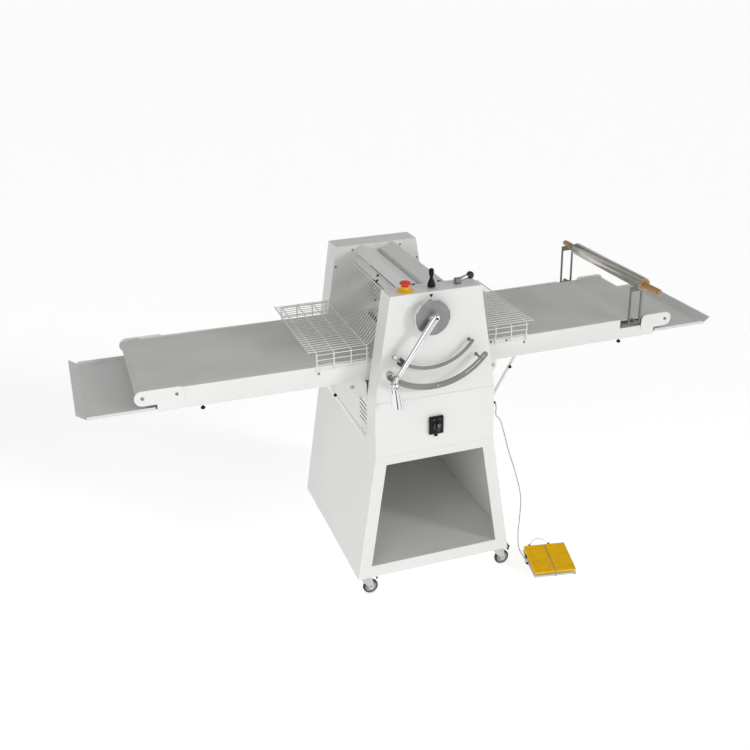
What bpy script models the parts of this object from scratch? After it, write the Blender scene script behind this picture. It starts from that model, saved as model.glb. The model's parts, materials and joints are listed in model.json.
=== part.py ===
"""Floor-standing dough sheeter: wheeled base, roller head, two belt tables, guards and foot pedal.

Metres, +Z up. X runs along the tables, the operator stands on the -Y side, and the floor is z = 0.
Every part is modelled about the middle plane of the tables (y = 0), and one empty shifts the whole
machine by ORIGIN_SHIFT, so that the origin is the middle of the footprint.
"""
import math

import bmesh
import bpy
from mathutils import Matrix, Vector

# ---- driving dimensions ----
ORIGIN_SHIFT = 0.0653
GAP = 0.0003
SHEET = 0.002
ROUND_STEPS = 20

BASE_BOTTOM = 0.0875
BASE_SEAM = 0.598
BASE_TOP = 0.813
BASE_HALF = {BASE_BOTTOM: 0.313, BASE_SEAM: 0.2327, BASE_TOP: 0.230}
HEAD_TOP = 1.2058
HEAD_TOP_HALF = 0.169
FRONT = -0.360
BACK = 0.3746
CONSOLE_INNER = -0.270
REAR_INNER = 0.2712
REAR_OUTER = 0.3710
OPENING_TOP = (0.5637, 0.191)
OPENING_BOTTOM = (0.1387, 0.2566)
FLOOR_PAN_TOP = 0.138
TROUGH_SLOT = (-0.004, 0.014)
TROUGH_FLOOR = 1.160
FLANGE_WIDTH = 0.075
LOUVRES = 5
LOUVRE_PITCH = 0.018

ROLLER_R = 0.035
ROLLER_HALF = 0.252
SHAFT_R = 0.0125
LOWER_AXIS_Z = 0.905
NIP = 0.038
UPPER_AXIS_Z = LOWER_AXIS_Z + 2 * ROLLER_R + NIP
NIP_TRAVEL = 0.0375

TABLE_TILT = math.radians(0.45)
TILT_X = 0.1914
RAIL_TOP = 0.9407
RAIL_BOTTOM = 0.862
RAIL_OUTER = 0.2523
RAIL_INNER = 0.2443
RAIL_START = 0.050
RAIL_END = 0.9637
NOTCH_START = 0.812
NOTCH_FLOOR = 0.905
BELT_HALF = 0.2425
BELT_THICK = 0.002
BELT_R = 0.0202
BELT_AXIS_Z = 0.9185
DRIVE_X = 0.075
END_X = 1.0105
YOKE_HALF_HEIGHT = 0.0275
YOKE_STARTS = {"left": 0.871, "right": 0.905}
YOKE_THICK = 0.003
TRAY_BEND_X = 1.1959
TRAY_TIP_X = 1.2283
TRAY_FLOOR_Z = 0.8697
TRAY_TIP_Z = 0.8904
TRAY_HALF = 0.250

STRUT_Y = 0.2465
STRUT_R = 0.006
STRUT_FOOT = (0.2355, 0.640)
STRUT_TOP = (0.3685, 0.866)
WEB_BOTTOM = 0.790
EAR_TOP = 0.8612
EAR_Y = 0.245
EAR_OUTLINE = (
    (0.0, 0.7905),
    (0.0275, 0.8000),
    (0.0460, 0.8120),
    (0.0570, 0.8270),
    (0.0610, 0.8400),
    (0.0605, EAR_TOP),
    (0.0, EAR_TOP),
)

GUARD_TOP = (0.1035, 1.139)
GUARD_KNEE = (0.213, 0.9985)
GUARD_END = 0.4335
GUARD_Z = 0.9985
GUARD_LEGS = (0.406, 0.3435, 0.2804, 0.2219)
SKIRT_Y = 0.258
SKIRT_BOTTOM = 0.924
SKIRT_WIRES = 4
FINE_WIRES = 25
FINE_PITCH = 0.0206
FINE_R = 0.0013
HEAVY_R = 0.0021

DIAL_X = -0.0266
DIAL_Z = 1.124
DIAL_R = 0.0655
DIAL_DEPTH = 0.035
DIAL_RIM = 0.009
DIAL_NECK_R = 0.046
LEVER_Y = -0.440
HUB_R = 0.019
LEVER_TIP = (-0.182, 0.929)
ROD_R = 0.0148
ROD_ROOT = (0.0035, 0.0060)
ROD_TIP_R = 0.007
ARC_Y = -0.385
INNER_ARC_R = 0.1890
OUTER_ARC_R = 0.2515
INNER_ARC_WIDTH = 0.012
OUTER_ARC_WIDTH = 0.022
INNER_ARC_ENDS = (-0.80, 0.98)
OUTER_ARC_ENDS = (-0.75, 0.92)
CLAMP_ANGLE = -0.653
STOP_KNOB_ANGLE = -0.710
STOP_KNOB_FRONT = -0.408

PIN_X = 0.872
PIN_Z = 1.092
PIN_R = 0.0245
PIN_MID_Y = -0.048
PIN_HALF = 0.2525
PIN_HANDLE = 0.105
PIN_GRIP_R = 0.0115
PIN_REST_GAP = 0.0011
FORK_LEG_HALF = 0.004
FORK_SADDLE_WEB = 0.010
FORK_NUT = (0.8625, 0.9325)
FORK_NUT_R = 0.008
FORK_LEGS = (0.839, 0.886)
FORK_Y = 0.266

CASTER_X = 0.278
CASTER_Y = 0.329
CASTER_TRAIL = 0.023
WHEEL_R = 0.030
WHEEL_WIDTH = 0.020

PEDAL_X = 0.4767
PEDAL_Y = -0.4055
PEDAL_TURN = math.radians(-11.0)
PEDAL_BASE = 0.171
PEDAL_TOP = 0.045
PEDAL_UNDER = 0.027
PEDAL_HINGE_Y = 0.0735
PEDAL_RUN = 0.157
PEDAL_PAD_HALF = 0.0835
PEDAL_LOW_DROP = 0.0095
PEDAL_HIGH_DROP = 0.020
PEDAL_BASE_DROP = 0.0105

WHITE = (0.86, 0.87, 0.86)
STEEL = (0.62, 0.63, 0.62)


# ---- scene helpers ----
def clear_scene():
    for item in list(bpy.data.objects):
        bpy.data.objects.remove(item, do_unlink=True)


def new_collection(name):
    made = bpy.data.collections.new(name)
    bpy.context.scene.collection.children.link(made)
    return made


clear_scene()
PARTS = new_collection("dough_sheeter")
HELPERS = new_collection("cutters")
MACHINE = bpy.data.objects.new("machine", None)
MACHINE.location = (0.0, ORIGIN_SHIFT, 0.0)
PARTS.objects.link(MACHINE)


def material(name, colour, roughness, metallic=0.0):
    """A plain Principled material, made once for each name."""
    found = bpy.data.materials.get(name)
    if found:
        return found
    made = bpy.data.materials.new(name)
    made.use_nodes = True
    shader = made.node_tree.nodes["Principled BSDF"]
    shader.inputs["Base Color"].default_value = (*colour, 1.0)
    shader.inputs["Roughness"].default_value = roughness
    shader.inputs["Metallic"].default_value = metallic
    return made


def part(name, mesh, colour, roughness=0.45, metallic=0.0, origin=(0.0, 0.0, 0.0), parent=None):
    """One sub-part as an object whose origin is moved to the given point, each with its own material."""
    mesh.name = name
    mesh.transform(Matrix.Translation(-Vector(origin)))
    made = bpy.data.objects.new(name, mesh)
    made.location = origin
    holder = parent or MACHINE
    made.parent = holder
    PARTS.objects.link(made)
    mesh.materials.clear()
    mesh.materials.append(material(name, colour, roughness, metallic))
    mesh.shade_smooth()
    mesh.set_sharp_from_angle(angle=math.radians(35))
    return made


def empty(name, location, turn_y=0.0, turn_z=0.0):
    """A parent for parts that are placed or moved together."""
    made = bpy.data.objects.new(name, None)
    made.location = location
    made.rotation_euler = (0.0, turn_y, turn_z)
    made.parent = MACHINE
    PARTS.objects.link(made)
    return made


# ---- shape helpers: each gives a mesh in machine coordinates ----
def mesh_of(bm):
    mesh = bpy.data.meshes.new("shape")
    bm.to_mesh(mesh)
    bm.free()
    return mesh


def box(low, high, bevel=0.0):
    """A block between two corners, with its edges bevelled if a width is given."""
    low = Vector(low)
    high = Vector(high)
    bm = bmesh.new()
    bmesh.ops.create_cube(bm, size=1.0)
    bmesh.ops.scale(bm, vec=high - low, verts=bm.verts)
    bmesh.ops.translate(bm, vec=(low + high) / 2, verts=bm.verts)
    if bevel:
        bmesh.ops.bevel(bm, geom=bm.edges[:], offset=bevel, segments=1, affect="EDGES")
    return mesh_of(bm)


def rod(start, end, radius, steps=ROUND_STEPS):
    """A round bar between two points."""
    start = Vector(start)
    end = Vector(end)
    bm = bmesh.new()
    bmesh.ops.create_cone(
        bm,
        cap_ends=True,
        segments=steps,
        radius1=radius,
        radius2=radius,
        depth=(end - start).length,
    )
    turn = Vector((0, 0, 1)).rotation_difference(end - start).to_matrix().to_4x4()
    bmesh.ops.transform(bm, matrix=Matrix.Translation((start + end) / 2) @ turn, verts=bm.verts)
    return mesh_of(bm)


def evaluated_mesh(item):
    """The mesh that an object makes, welded, in world space. The object is removed."""
    bpy.context.view_layer.update()
    graph = bpy.context.evaluated_depsgraph_get()
    mesh = bpy.data.meshes.new_from_object(item.evaluated_get(graph))
    bm = bmesh.new()
    bm.from_mesh(mesh)
    bmesh.ops.remove_doubles(bm, verts=bm.verts, dist=0.00001)
    bmesh.ops.transform(bm, matrix=item.matrix_world, verts=bm.verts)
    bmesh.ops.recalc_face_normals(bm, faces=bm.faces)
    bpy.data.objects.remove(item)
    return mesh_of(bm)


UPRIGHT = Matrix(((1, 0, 0, 0), (0, 0, -1, 0), (0, 1, 0, 0), (0, 0, 0, 1)))


def prism(outlines, low, high):
    """An outline in X and Z, with any holes after it, pulled along Y from low to high."""
    curve = bpy.data.curves.new("outline", "CURVE")
    curve.dimensions = "2D"
    curve.fill_mode = "BOTH"
    curve.extrude = (high - low) / 2
    for outline in outlines:
        spline = curve.splines.new("POLY")
        spline.points.add(len(outline) - 1)
        for point, (across, up) in zip(spline.points, outline):
            point.co = (across, up, 0.0, 1.0)
        spline.use_cyclic_u = True
    item = bpy.data.objects.new("outline", curve)
    HELPERS.objects.link(item)
    item.matrix_world = Matrix.Translation((0.0, (low + high) / 2, 0.0)) @ UPRIGHT
    return evaluated_mesh(item)


def wire(points, radius, resolution=1, taper=None):
    """A round wire through the given points; taper scales its radius at each of them."""
    curve = bpy.data.curves.new("wire", "CURVE")
    curve.dimensions = "3D"
    curve.bevel_depth = radius
    curve.bevel_resolution = resolution
    curve.use_fill_caps = True
    spline = curve.splines.new("POLY")
    spline.points.add(len(points) - 1)
    for point, place, scale in zip(spline.points, points, taper or [1.0] * len(points)):
        point.co = (*place, 1.0)
        point.radius = scale
    item = bpy.data.objects.new("wire", curve)
    HELPERS.objects.link(item)
    return evaluated_mesh(item)


def turned(profile, base, direction, steps=ROUND_STEPS):
    """A turned solid: (radius, height) pairs from the top of the axis down its outer side to the bottom."""
    mesh = bpy.data.meshes.new("profile")
    points = [(radius, 0.0, height) for radius, height in profile]
    mesh.from_pydata(points, [(i, i + 1) for i in range(len(points) - 1)], [])
    item = bpy.data.objects.new("profile", mesh)
    HELPERS.objects.link(item)
    screw = item.modifiers.new("turn", "SCREW")
    screw.steps = steps
    screw.render_steps = steps
    screw.use_merge_vertices = True
    screw.merge_threshold = 0.00001
    turn = Vector((0, 0, 1)).rotation_difference(Vector(direction)).to_matrix().to_4x4()
    item.matrix_world = Matrix.Translation(base) @ turn
    return evaluated_mesh(item)


def boolean(target, tool, operation, use_self=False):
    """Both meshes become one: joined, or the second cut from the first."""
    first = bpy.data.objects.new("target", target)
    second = bpy.data.objects.new("tool", tool)
    HELPERS.objects.link(first)
    HELPERS.objects.link(second)
    modifier = first.modifiers.new("join", "BOOLEAN")
    modifier.operation = operation
    modifier.object = second
    modifier.solver = "EXACT"
    modifier.use_self = use_self
    made = evaluated_mesh(first)
    bpy.data.objects.remove(second)
    return made


def merged(meshes):
    """Several meshes put into one, still as separate bodies."""
    bm = bmesh.new()
    for mesh in meshes:
        bm.from_mesh(mesh)
    return mesh_of(bm)


def fuse(meshes):
    """Overlapping solids joined into one body."""
    return boolean(merged(meshes[:-1]), meshes[-1], "UNION", use_self=len(meshes) > 2)


def cut(mesh, tools):
    for tool in tools:
        mesh = boolean(mesh, tool, "DIFFERENCE")
    return mesh


def strip(points, thick):
    """The outline of a bent sheet that follows the points, with its thickness on the left side."""
    offset = []
    for index, point in enumerate(points):
        here = Vector(point)
        before = (here - Vector(points[index - 1])).normalized() if index else None
        after = (Vector(points[index + 1]) - here).normalized() if index + 1 < len(points) else None
        along = ((before or after) + (after or before)).normalized()
        side = Vector((-along.y, along.x))
        straight = Vector((-(before or after).y, (before or after).x))
        offset.append(tuple(here + side * thick / side.dot(straight)))
    return list(points) + offset[::-1]


def arc_points(centre, radius, start, end, count):
    """Points on a circle; the angles are measured from straight down, towards +X."""
    step = (end - start) / (count - 1)
    return [
        (centre[0] + radius * math.sin(start + step * i), centre[1] - radius * math.cos(start + step * i))
        for i in range(count)
    ]


def half_width(z):
    """Half the width of the base or the head at this height."""
    levels = [*BASE_HALF.items(), (HEAD_TOP, HEAD_TOP_HALF)]
    for (low, low_half), (high, high_half) in zip(levels, levels[1:]):
        if z <= high:
            return low_half + (high_half - low_half) * (z - low) / (high - low)
    return HEAD_TOP_HALF


def symmetric(levels, inset=0.0):
    """A closed outline from half widths at rising heights."""
    right = [(half_width(z) - inset, z) for z in levels]
    return right + [(-across, up) for across, up in right[::-1]]


# ---- base ----
def build_base():
    outer = prism([symmetric((BASE_BOTTOM, BASE_SEAM, BASE_TOP))], FRONT + SHEET + GAP, BACK)
    right = [(half_width(z) - SHEET, z) for z in (BASE_BOTTOM, BASE_SEAM)]
    right = [(right[0][0] + 0.0048, BASE_BOTTOM - 0.030), *right, (BASE_HALF[BASE_TOP] - SHEET, BASE_TOP - SHEET)]
    inner = right + [(-across, up) for across, up in right[::-1]]
    hollow = prism([inner], FRONT - 0.1, BACK - SHEET)
    slots = []
    for index in range(LOUVRES):
        z = 0.690 + LOUVRE_PITCH * index
        slots.append(box((-0.245, -0.262, z), (-0.215, -0.180, z + 0.006)))
    shell = cut(outer, [hollow, *slots])
    part("cabinet_body", shell, WHITE)

    outline = symmetric((BASE_BOTTOM, FLOOR_PAN_TOP), SHEET + GAP)
    tray = prism([outline], FRONT + SHEET + 2 * GAP, BACK - SHEET - GAP)
    front = FRONT + SHEET + 2 * GAP
    side = half_width(FLOOR_PAN_TOP) - 2 * SHEET - 0.004
    hollow = box((-side, front + SHEET, BASE_BOTTOM + 0.003), (side, BACK - 0.005, FLOOR_PAN_TOP - SHEET))
    mouth = box(
        (FLANGE_WIDTH - side, front + FLANGE_WIDTH, 0.05),
        (side - FLANGE_WIDTH, BACK - FLANGE_WIDTH, BASE_BOTTOM + 0.01),
    )
    part("floor_pan", cut(tray, [mouth, hollow]), (0.70, 0.71, 0.71), 0.4)

    panel = symmetric((BASE_BOTTOM, BASE_SEAM - GAP))
    opening = [
        (OPENING_BOTTOM[1], OPENING_BOTTOM[0]),
        (OPENING_TOP[1], OPENING_TOP[0]),
        (-OPENING_TOP[1], OPENING_TOP[0]),
        (-OPENING_BOTTOM[1], OPENING_BOTTOM[0]),
    ]
    part("front_panel", prism([panel, opening], FRONT, FRONT + SHEET), WHITE)

    upper = symmetric((BASE_SEAM, BASE_TOP - GAP))
    part("switch_panel", prism([upper], FRONT, FRONT + SHEET), WHITE)

    motor = rod((0.03, -0.10, 0.700), (0.03, 0.16, 0.700), 0.055)
    gearbox = box((-0.035, 0.150, 0.625), (0.095, 0.250, BASE_TOP - SHEET - GAP), 0.006)
    part("gear_motor", fuse([motor, gearbox]), (0.18, 0.22, 0.28), 0.5)


def build_switch():
    z = 0.695
    back = FRONT - GAP
    plate = box((-0.0275, back - 0.012, z - 0.035), (0.0275, back, z + 0.035), 0.002)
    tab = box((-0.006, back - 0.006, z - 0.046), (0.006, back, z - 0.033))
    part("main_switch", fuse([plate, tab]), (0.02, 0.02, 0.022), 0.35)
    front = back - 0.012 - GAP
    boss = rod((0.0, front, z), (0.0, front - 0.006, z), 0.016)
    grip = box((-0.0045, front - 0.017, z - 0.015), (0.0045, front - 0.004, z + 0.015), 0.0015)
    part("switch_knob", fuse([boss, grip]), (0.03, 0.03, 0.033), 0.3, origin=(0.0, front, z))


# ---- head ----
def shaft_openings(low, high):
    """Cutters for the lower shaft's bore and for the upward slot that the upper roller moves in."""
    bore = rod((0, low, LOWER_AXIS_Z), (0, high, LOWER_AXIS_Z), SHAFT_R + 2 * GAP)
    slot_low = UPPER_AXIS_Z - NIP_TRAVEL - SHAFT_R - 0.004
    slot_high = UPPER_AXIS_Z + ROLLER_R + 0.025
    slot = box((-SHAFT_R - 0.002, low, slot_low), (SHAFT_R + 0.002, high, slot_high))
    return [bore, slot]


def build_head():
    levels = (BASE_TOP + GAP, HEAD_TOP)
    inner = [(across * 0.985, up) for across, up in symmetric((BASE_TOP + GAP + SHEET, HEAD_TOP - SHEET), SHEET)]
    front = FRONT + SHEET + GAP
    shell = prism([symmetric(levels)], front, CONSOLE_INNER)
    hollow = prism([inner], FRONT - 0.05, CONSOLE_INNER - SHEET)
    shell = cut(shell, [hollow, *shaft_openings(CONSOLE_INNER - 0.01, CONSOLE_INNER + 0.01)])
    part("console_housing", shell, WHITE)
    part("console_cover", prism([symmetric(levels)], FRONT, FRONT + SHEET), WHITE)

    shell = prism([symmetric(levels)], REAR_INNER, REAR_OUTER)
    hollow = prism([inner], REAR_INNER + SHEET, REAR_OUTER - SHEET)
    shell = cut(shell, [*shaft_openings(REAR_INNER - 0.01, REAR_INNER + 0.01), hollow])
    part("rear_housing", shell, WHITE)

    section = [
        (0.0885, 1.1788),
        (0.067, 1.2050),
        (TROUGH_SLOT[1], 1.1850),
        (TROUGH_SLOT[1], TROUGH_FLOOR),
        (TROUGH_SLOT[0], TROUGH_FLOOR),
        (TROUGH_SLOT[0], 1.1780),
        (-0.064, 1.2055),
        (-0.0885, 1.1788),
    ]
    sheet = prism([strip(section, 0.0015)], CONSOLE_INNER + GAP, REAR_INNER - GAP)
    part("head_cover", sheet, WHITE)

    for side, sign in (("left", -1), ("right", 1)):
        section = [(sign * 0.070, 1.171), (sign * 0.0990, 1.1435)]
        outline = strip(section, SHEET)
        plate = prism([outline], CONSOLE_INNER + GAP, REAR_INNER - GAP)
        part(f"hinge_bracket_{side}", plate, STEEL, 0.35, 0.9)


def build_rollers():
    end = ROLLER_HALF + 0.045
    for name, z in (("upper_roller", UPPER_AXIS_Z), ("lower_roller", LOWER_AXIS_Z)):
        profile = [
            (0.0, end),
            (SHAFT_R, end),
            (SHAFT_R, ROLLER_HALF),
            (ROLLER_R, ROLLER_HALF),
            (ROLLER_R, -ROLLER_HALF),
            (SHAFT_R, -ROLLER_HALF),
            (SHAFT_R, -end),
            (0.0, -end),
        ]
        body = turned(profile, (0, 0, z), (0, 1, 0), 32)
        part(name, body, (0.75, 0.76, 0.77), 0.12, 1.0, origin=(0, 0, z))

    z = UPPER_AXIS_Z
    blocks = []
    for low, high in ((-0.292, -0.2735), (0.2747, 0.293)):
        block = box((-0.030, low, z - 0.030), (0.030, high, z + 0.052), 0.003)
        blocks.append(cut(block, [rod((0, low - 0.01, z), (0, high + 0.01, z), SHAFT_R + GAP)]))
    bar = box((-0.006, -0.280, z + ROLLER_R + 0.003), (0.006, 0.281, z + ROLLER_R + 0.013))
    blade = box((-0.001, -ROLLER_HALF, z + ROLLER_R + GAP), (0.001, ROLLER_HALF, z + ROLLER_R + 0.005))
    part("roller_carriage", fuse([*blocks, bar, blade]), (0.45, 0.46, 0.47), 0.4, 0.8, origin=(0, 0, z))


# ---- tables ----
def belt_loop(radius):
    """The path of a belt round its two rollers, at the given distance from their axes."""
    outer = arc_points((END_X, BELT_AXIS_Z), radius, 0.0, math.pi, 13)
    inner = arc_points((DRIVE_X, BELT_AXIS_Z), radius, math.pi, 2 * math.pi, 13)
    return outer + inner


def mirrored(points, sign):
    return [(sign * across, up) for across, up in points]


def build_table(side, sign):
    """One belt table, modelled level and then tilted as a whole about its drive roller."""
    pivot = Vector((sign * DRIVE_X, 0.0, BELT_AXIS_Z))
    rail_corner = Vector((sign * TILT_X, 0.0, RAIL_TOP))
    tilt = Matrix.Rotation(-sign * TABLE_TILT, 4, "Y")
    moved = Matrix.Translation(rail_corner) @ tilt @ Matrix.Translation(-rail_corner)
    holder = empty(f"table_{side}", moved @ pivot, turn_y=-sign * TABLE_TILT)

    def table_part(name, mesh, colour, roughness=0.45, metallic=0.0, at=None):
        made = part(name, mesh, colour, roughness, metallic, origin=at or pivot, parent=holder)
        made.location = Vector(at or pivot) - pivot
        return made

    rail = [(RAIL_START, RAIL_BOTTOM), (RAIL_END, RAIL_BOTTOM)]
    if sign > 0:
        rail += [(RAIL_END, NOTCH_FLOOR), (NOTCH_START, NOTCH_FLOOR), (NOTCH_START, RAIL_TOP)]
    else:
        rail += [(RAIL_END, RAIL_TOP)]
    rail += [(RAIL_START, RAIL_TOP)]
    rail = mirrored(rail, sign)
    front_rail = prism([rail], -RAIL_OUTER, -RAIL_INNER)
    back_rail = prism([rail], RAIL_INNER, RAIL_OUTER)
    bed_top = BELT_AXIS_Z + BELT_R - BELT_THICK - GAP
    ends = sorted((sign * 0.105, sign * 0.955))
    bed = box((ends[0], -RAIL_INNER - 0.004, bed_top - SHEET), (ends[1], RAIL_INNER + 0.004, bed_top))
    ties = []
    for x in (0.30, 0.70):
        ends = sorted((sign * x, sign * (x + 0.030)))
        ties.append(box((ends[0], -RAIL_INNER - 0.004, RAIL_BOTTOM + 0.004), (ends[1], RAIL_INNER + 0.004, 0.885)))
    struts = []
    for y in (-STRUT_Y, STRUT_Y):
        ends = [(sign * across, y, z) for across, z in (STRUT_FOOT, STRUT_TOP)]
        struts.append(wire(ends, STRUT_R, 2))
    table_part(f"table_frame_{side}", fuse([front_rail, back_rail, *ties, *struts, bed]), WHITE)

    loops = [mirrored(belt_loop(BELT_R), sign), mirrored(belt_loop(BELT_R - BELT_THICK), sign)]
    table_part(f"belt_{side}", prism(loops, -BELT_HALF, BELT_HALF), (0.78, 0.78, 0.76), 0.9)

    core = BELT_R - BELT_THICK - GAP
    axle = (sign * DRIVE_X, 0.0, BELT_AXIS_Z)
    roller = rod((axle[0], -RAIL_INNER + 0.001, axle[2]), (axle[0], RAIL_INNER - 0.001, axle[2]), core)
    table_part(f"drive_roller_{side}", roller, (0.35, 0.35, 0.36), 0.5, 0.7)

    axle = (sign * END_X, 0.0, BELT_AXIS_Z)
    sleeve = rod((axle[0], -BELT_HALF, axle[2]), (axle[0], BELT_HALF, axle[2]), core)
    bore = rod((axle[0], -0.3, axle[2]), (axle[0], 0.3, axle[2]), 0.0063, 12)
    table_part(f"end_roller_{side}", cut(sleeve, [bore]), (0.55, 0.56, 0.56), 0.4, 0.9, at=axle)

    tip = arc_points((END_X, BELT_AXIS_Z), YOKE_HALF_HEIGHT, 0.0, math.pi, 11)
    low = BELT_AXIS_Z - YOKE_HALF_HEIGHT
    high = BELT_AXIS_Z + YOKE_HALF_HEIGHT
    start = YOKE_STARTS[side]
    plate = [*tip, (start + 0.012, high), (start, high - 0.014), (start, low)]
    plate = mirrored(plate, sign)
    cheeks = [
        prism([plate], -RAIL_OUTER - GAP - YOKE_THICK, -RAIL_OUTER - GAP),
        prism([plate], RAIL_OUTER + GAP, RAIL_OUTER + GAP + YOKE_THICK),
    ]
    axle_bar = rod((axle[0], -RAIL_OUTER - 0.002, axle[2]), (axle[0], RAIL_OUTER + 0.002, axle[2]), 0.006, 12)
    table_part(f"end_yoke_{side}", fuse([*cheeks, axle_bar]), WHITE)

    floor_ends = sorted((sign * 0.970, sign * TRAY_BEND_X))
    tongue_ends = sorted((sign * 0.900, sign * 0.972))
    floor_low = TRAY_FLOOR_Z - 0.0015
    floor = box((floor_ends[0], -TRAY_HALF, floor_low), (floor_ends[1], TRAY_HALF, TRAY_FLOOR_Z))
    tongue = box((tongue_ends[0], -0.2435, floor_low), (tongue_ends[1], 0.2435, TRAY_FLOOR_Z))
    lip = [(TRAY_BEND_X - 0.001, TRAY_FLOOR_Z - 0.0015), (TRAY_TIP_X, TRAY_TIP_Z)]
    lip = strip(mirrored(lip, sign), sign * 0.0015)
    flange = prism([lip], -TRAY_HALF, TRAY_HALF)
    pieces = [floor, tongue, flange]
    for y in (-TRAY_HALF, TRAY_HALF - 0.0015):
        pieces.append(box((floor_ends[0], y, floor_low), (floor_ends[1], y + 0.0015, TRAY_FLOOR_Z + 0.010)))
    table_part(f"catch_tray_{side}", fuse(pieces), (0.72, 0.73, 0.73), 0.4, at=(sign * 0.9, 0.0, TRAY_FLOOR_Z))

    top = (sign * 0.8125, -0.2483, RAIL_BOTTOM - GAP)
    profile = [(0.0, 0.0), (0.003, 0.0), (0.003, -0.006), (0.008, -0.007), (0.008, -0.0135), (0.0, -0.0145)]
    table_part(f"rail_knob_{side}", turned(profile, top, (0, 0, 1), 16), (0.02, 0.02, 0.02), 0.5, at=top)
    if sign > 0:
        build_rolling_pin(table_part)


def build_rolling_pin(table_part):
    """The front fork carries the tube itself and the back fork the pin's handle."""
    left = FORK_LEGS[0] - FORK_LEG_HALF
    right = FORK_LEGS[1] + FORK_LEG_HALF
    for side, sign, held in (("front", -1, PIN_R), ("back", 1, PIN_GRIP_R)):
        ys = sorted((sign * (FORK_Y - 0.002), sign * (FORK_Y + 0.002)))
        radius = held + PIN_REST_GAP
        reach = math.asin(min((right - PIN_X) / radius, 0.976))
        saddle = arc_points((PIN_X, PIN_Z), radius, -reach, reach, 9)
        base = PIN_Z - radius - FORK_SADDLE_WEB
        cradle = prism([[*saddle, (right, saddle[-1][1]), (right, base), (left, base), (left, saddle[0][1])]], *ys)
        legs = [box((x - FORK_LEG_HALF, ys[0], 0.930), (x + FORK_LEG_HALF, ys[1], base + 0.001)) for x in FORK_LEGS]
        foot = box((left, ys[0], 0.922), (right, ys[1], 0.933))
        start = (FORK_NUT[0], sign * (RAIL_OUTER + GAP), FORK_NUT[1])
        nut = rod(start, (FORK_NUT[0], sign * (FORK_Y + 0.010), FORK_NUT[1]), FORK_NUT_R, 16)
        table_part(f"pin_fork_{side}", fuse([*legs, foot, cradle, nut]), STEEL, 0.3, 0.9)

    low = PIN_MID_Y - PIN_HALF
    high = PIN_MID_Y + PIN_HALF
    at = (PIN_X, 0.0, PIN_Z)
    tube = rod((PIN_X, low, PIN_Z), (PIN_X, high, PIN_Z), PIN_R, 24)
    bore = rod((PIN_X, low - 0.1, PIN_Z), (PIN_X, high + 0.1, PIN_Z), 0.0063, 12)
    table_part("pin_tube", cut(tube, [bore]), (0.66, 0.65, 0.58), 0.28, 1.0, at=at)
    grip = PIN_GRIP_R
    tip = high + PIN_HANDLE
    profile = [(0.0, tip), (grip * 0.8, tip), (grip, tip - 0.005), (grip, high + 0.002), (0.006, high + 0.002)]
    tip = low - PIN_HANDLE
    profile += [(0.006, low - 0.002), (grip, low - 0.002), (grip, tip + 0.005), (grip * 0.8, tip), (0.0, tip)]
    spindle = turned(profile, (PIN_X, 0, PIN_Z), (0, 1, 0), 16)
    table_part("pin_handles", spindle, (0.62, 0.40, 0.18), 0.55, at=at)


def build_supports():
    """A bracket on each side of the base: a web along the top of the wall, with an ear at each end."""
    wall = BASE_HALF[BASE_TOP] + 2 * GAP
    for side, sign in (("left", -1), ("right", 1)):
        web = [(half_width(WEB_BOTTOM) + 2 * GAP, WEB_BOTTOM), (wall, BASE_TOP), (wall, EAR_TOP)]
        web += [(across + SHEET, z) for across, z in web[::-1]]
        plate = prism([mirrored(web, sign)], CONSOLE_INNER + GAP, REAR_INNER - GAP)
        ear = [(wall + across, z) for across, z in EAR_OUTLINE]
        ears = [prism([mirrored(ear, sign)], y, y + SHEET) for y in (-EAR_Y, EAR_Y - SHEET)]
        part(f"table_support_{side}", fuse([*ears, plate]), (0.66, 0.67, 0.66))


# ---- guards ----
def build_guard(side, sign):
    top = GUARD_TOP
    wires = []
    for index in range(FINE_WIRES):
        y = FINE_PITCH * (index - (FINE_WIRES - 1) / 2)
        path = [(sign * top[0], y, top[1]), (sign * GUARD_KNEE[0], y, GUARD_KNEE[1]), (sign * GUARD_END, y, GUARD_Z)]
        wires.append(wire(path, FINE_R, 0))
    edge = SKIRT_Y - 0.004
    under = GUARD_Z - FINE_R - HEAVY_R + 0.0006
    for x in GUARD_LEGS:
        path = [
            (sign * x, -SKIRT_Y, SKIRT_BOTTOM),
            (sign * x, -SKIRT_Y, under - 0.003),
            (sign * x, -edge, under),
            (sign * x, edge, under),
            (sign * x, SKIRT_Y, under - 0.003),
            (sign * x, SKIRT_Y, SKIRT_BOTTOM),
        ]
        wires.append(wire(path, HEAVY_R))
    for index in range(SKIRT_WIRES):
        z = SKIRT_BOTTOM + 0.006 + index * 0.0195
        for y in (-SKIRT_Y, SKIRT_Y):
            out = y + math.copysign(HEAVY_R + FINE_R - 0.0006, y)
            wires.append(wire([(sign * 0.2150, out, z), (sign * 0.4100, out, z)], FINE_R, 0))
    wires.append(wire([(sign * GUARD_END, -0.252, GUARD_Z), (sign * GUARD_END, 0.252, GUARD_Z)], HEAVY_R))
    wires.append(wire([(sign * top[0], -0.252, top[1]), (sign * top[0], 0.252, top[1])], HEAVY_R))
    origin = (sign * top[0], 0.0, top[1])
    part(f"guard_{side}", fuse(wires), (0.90, 0.90, 0.86), 0.4, origin=origin)


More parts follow.
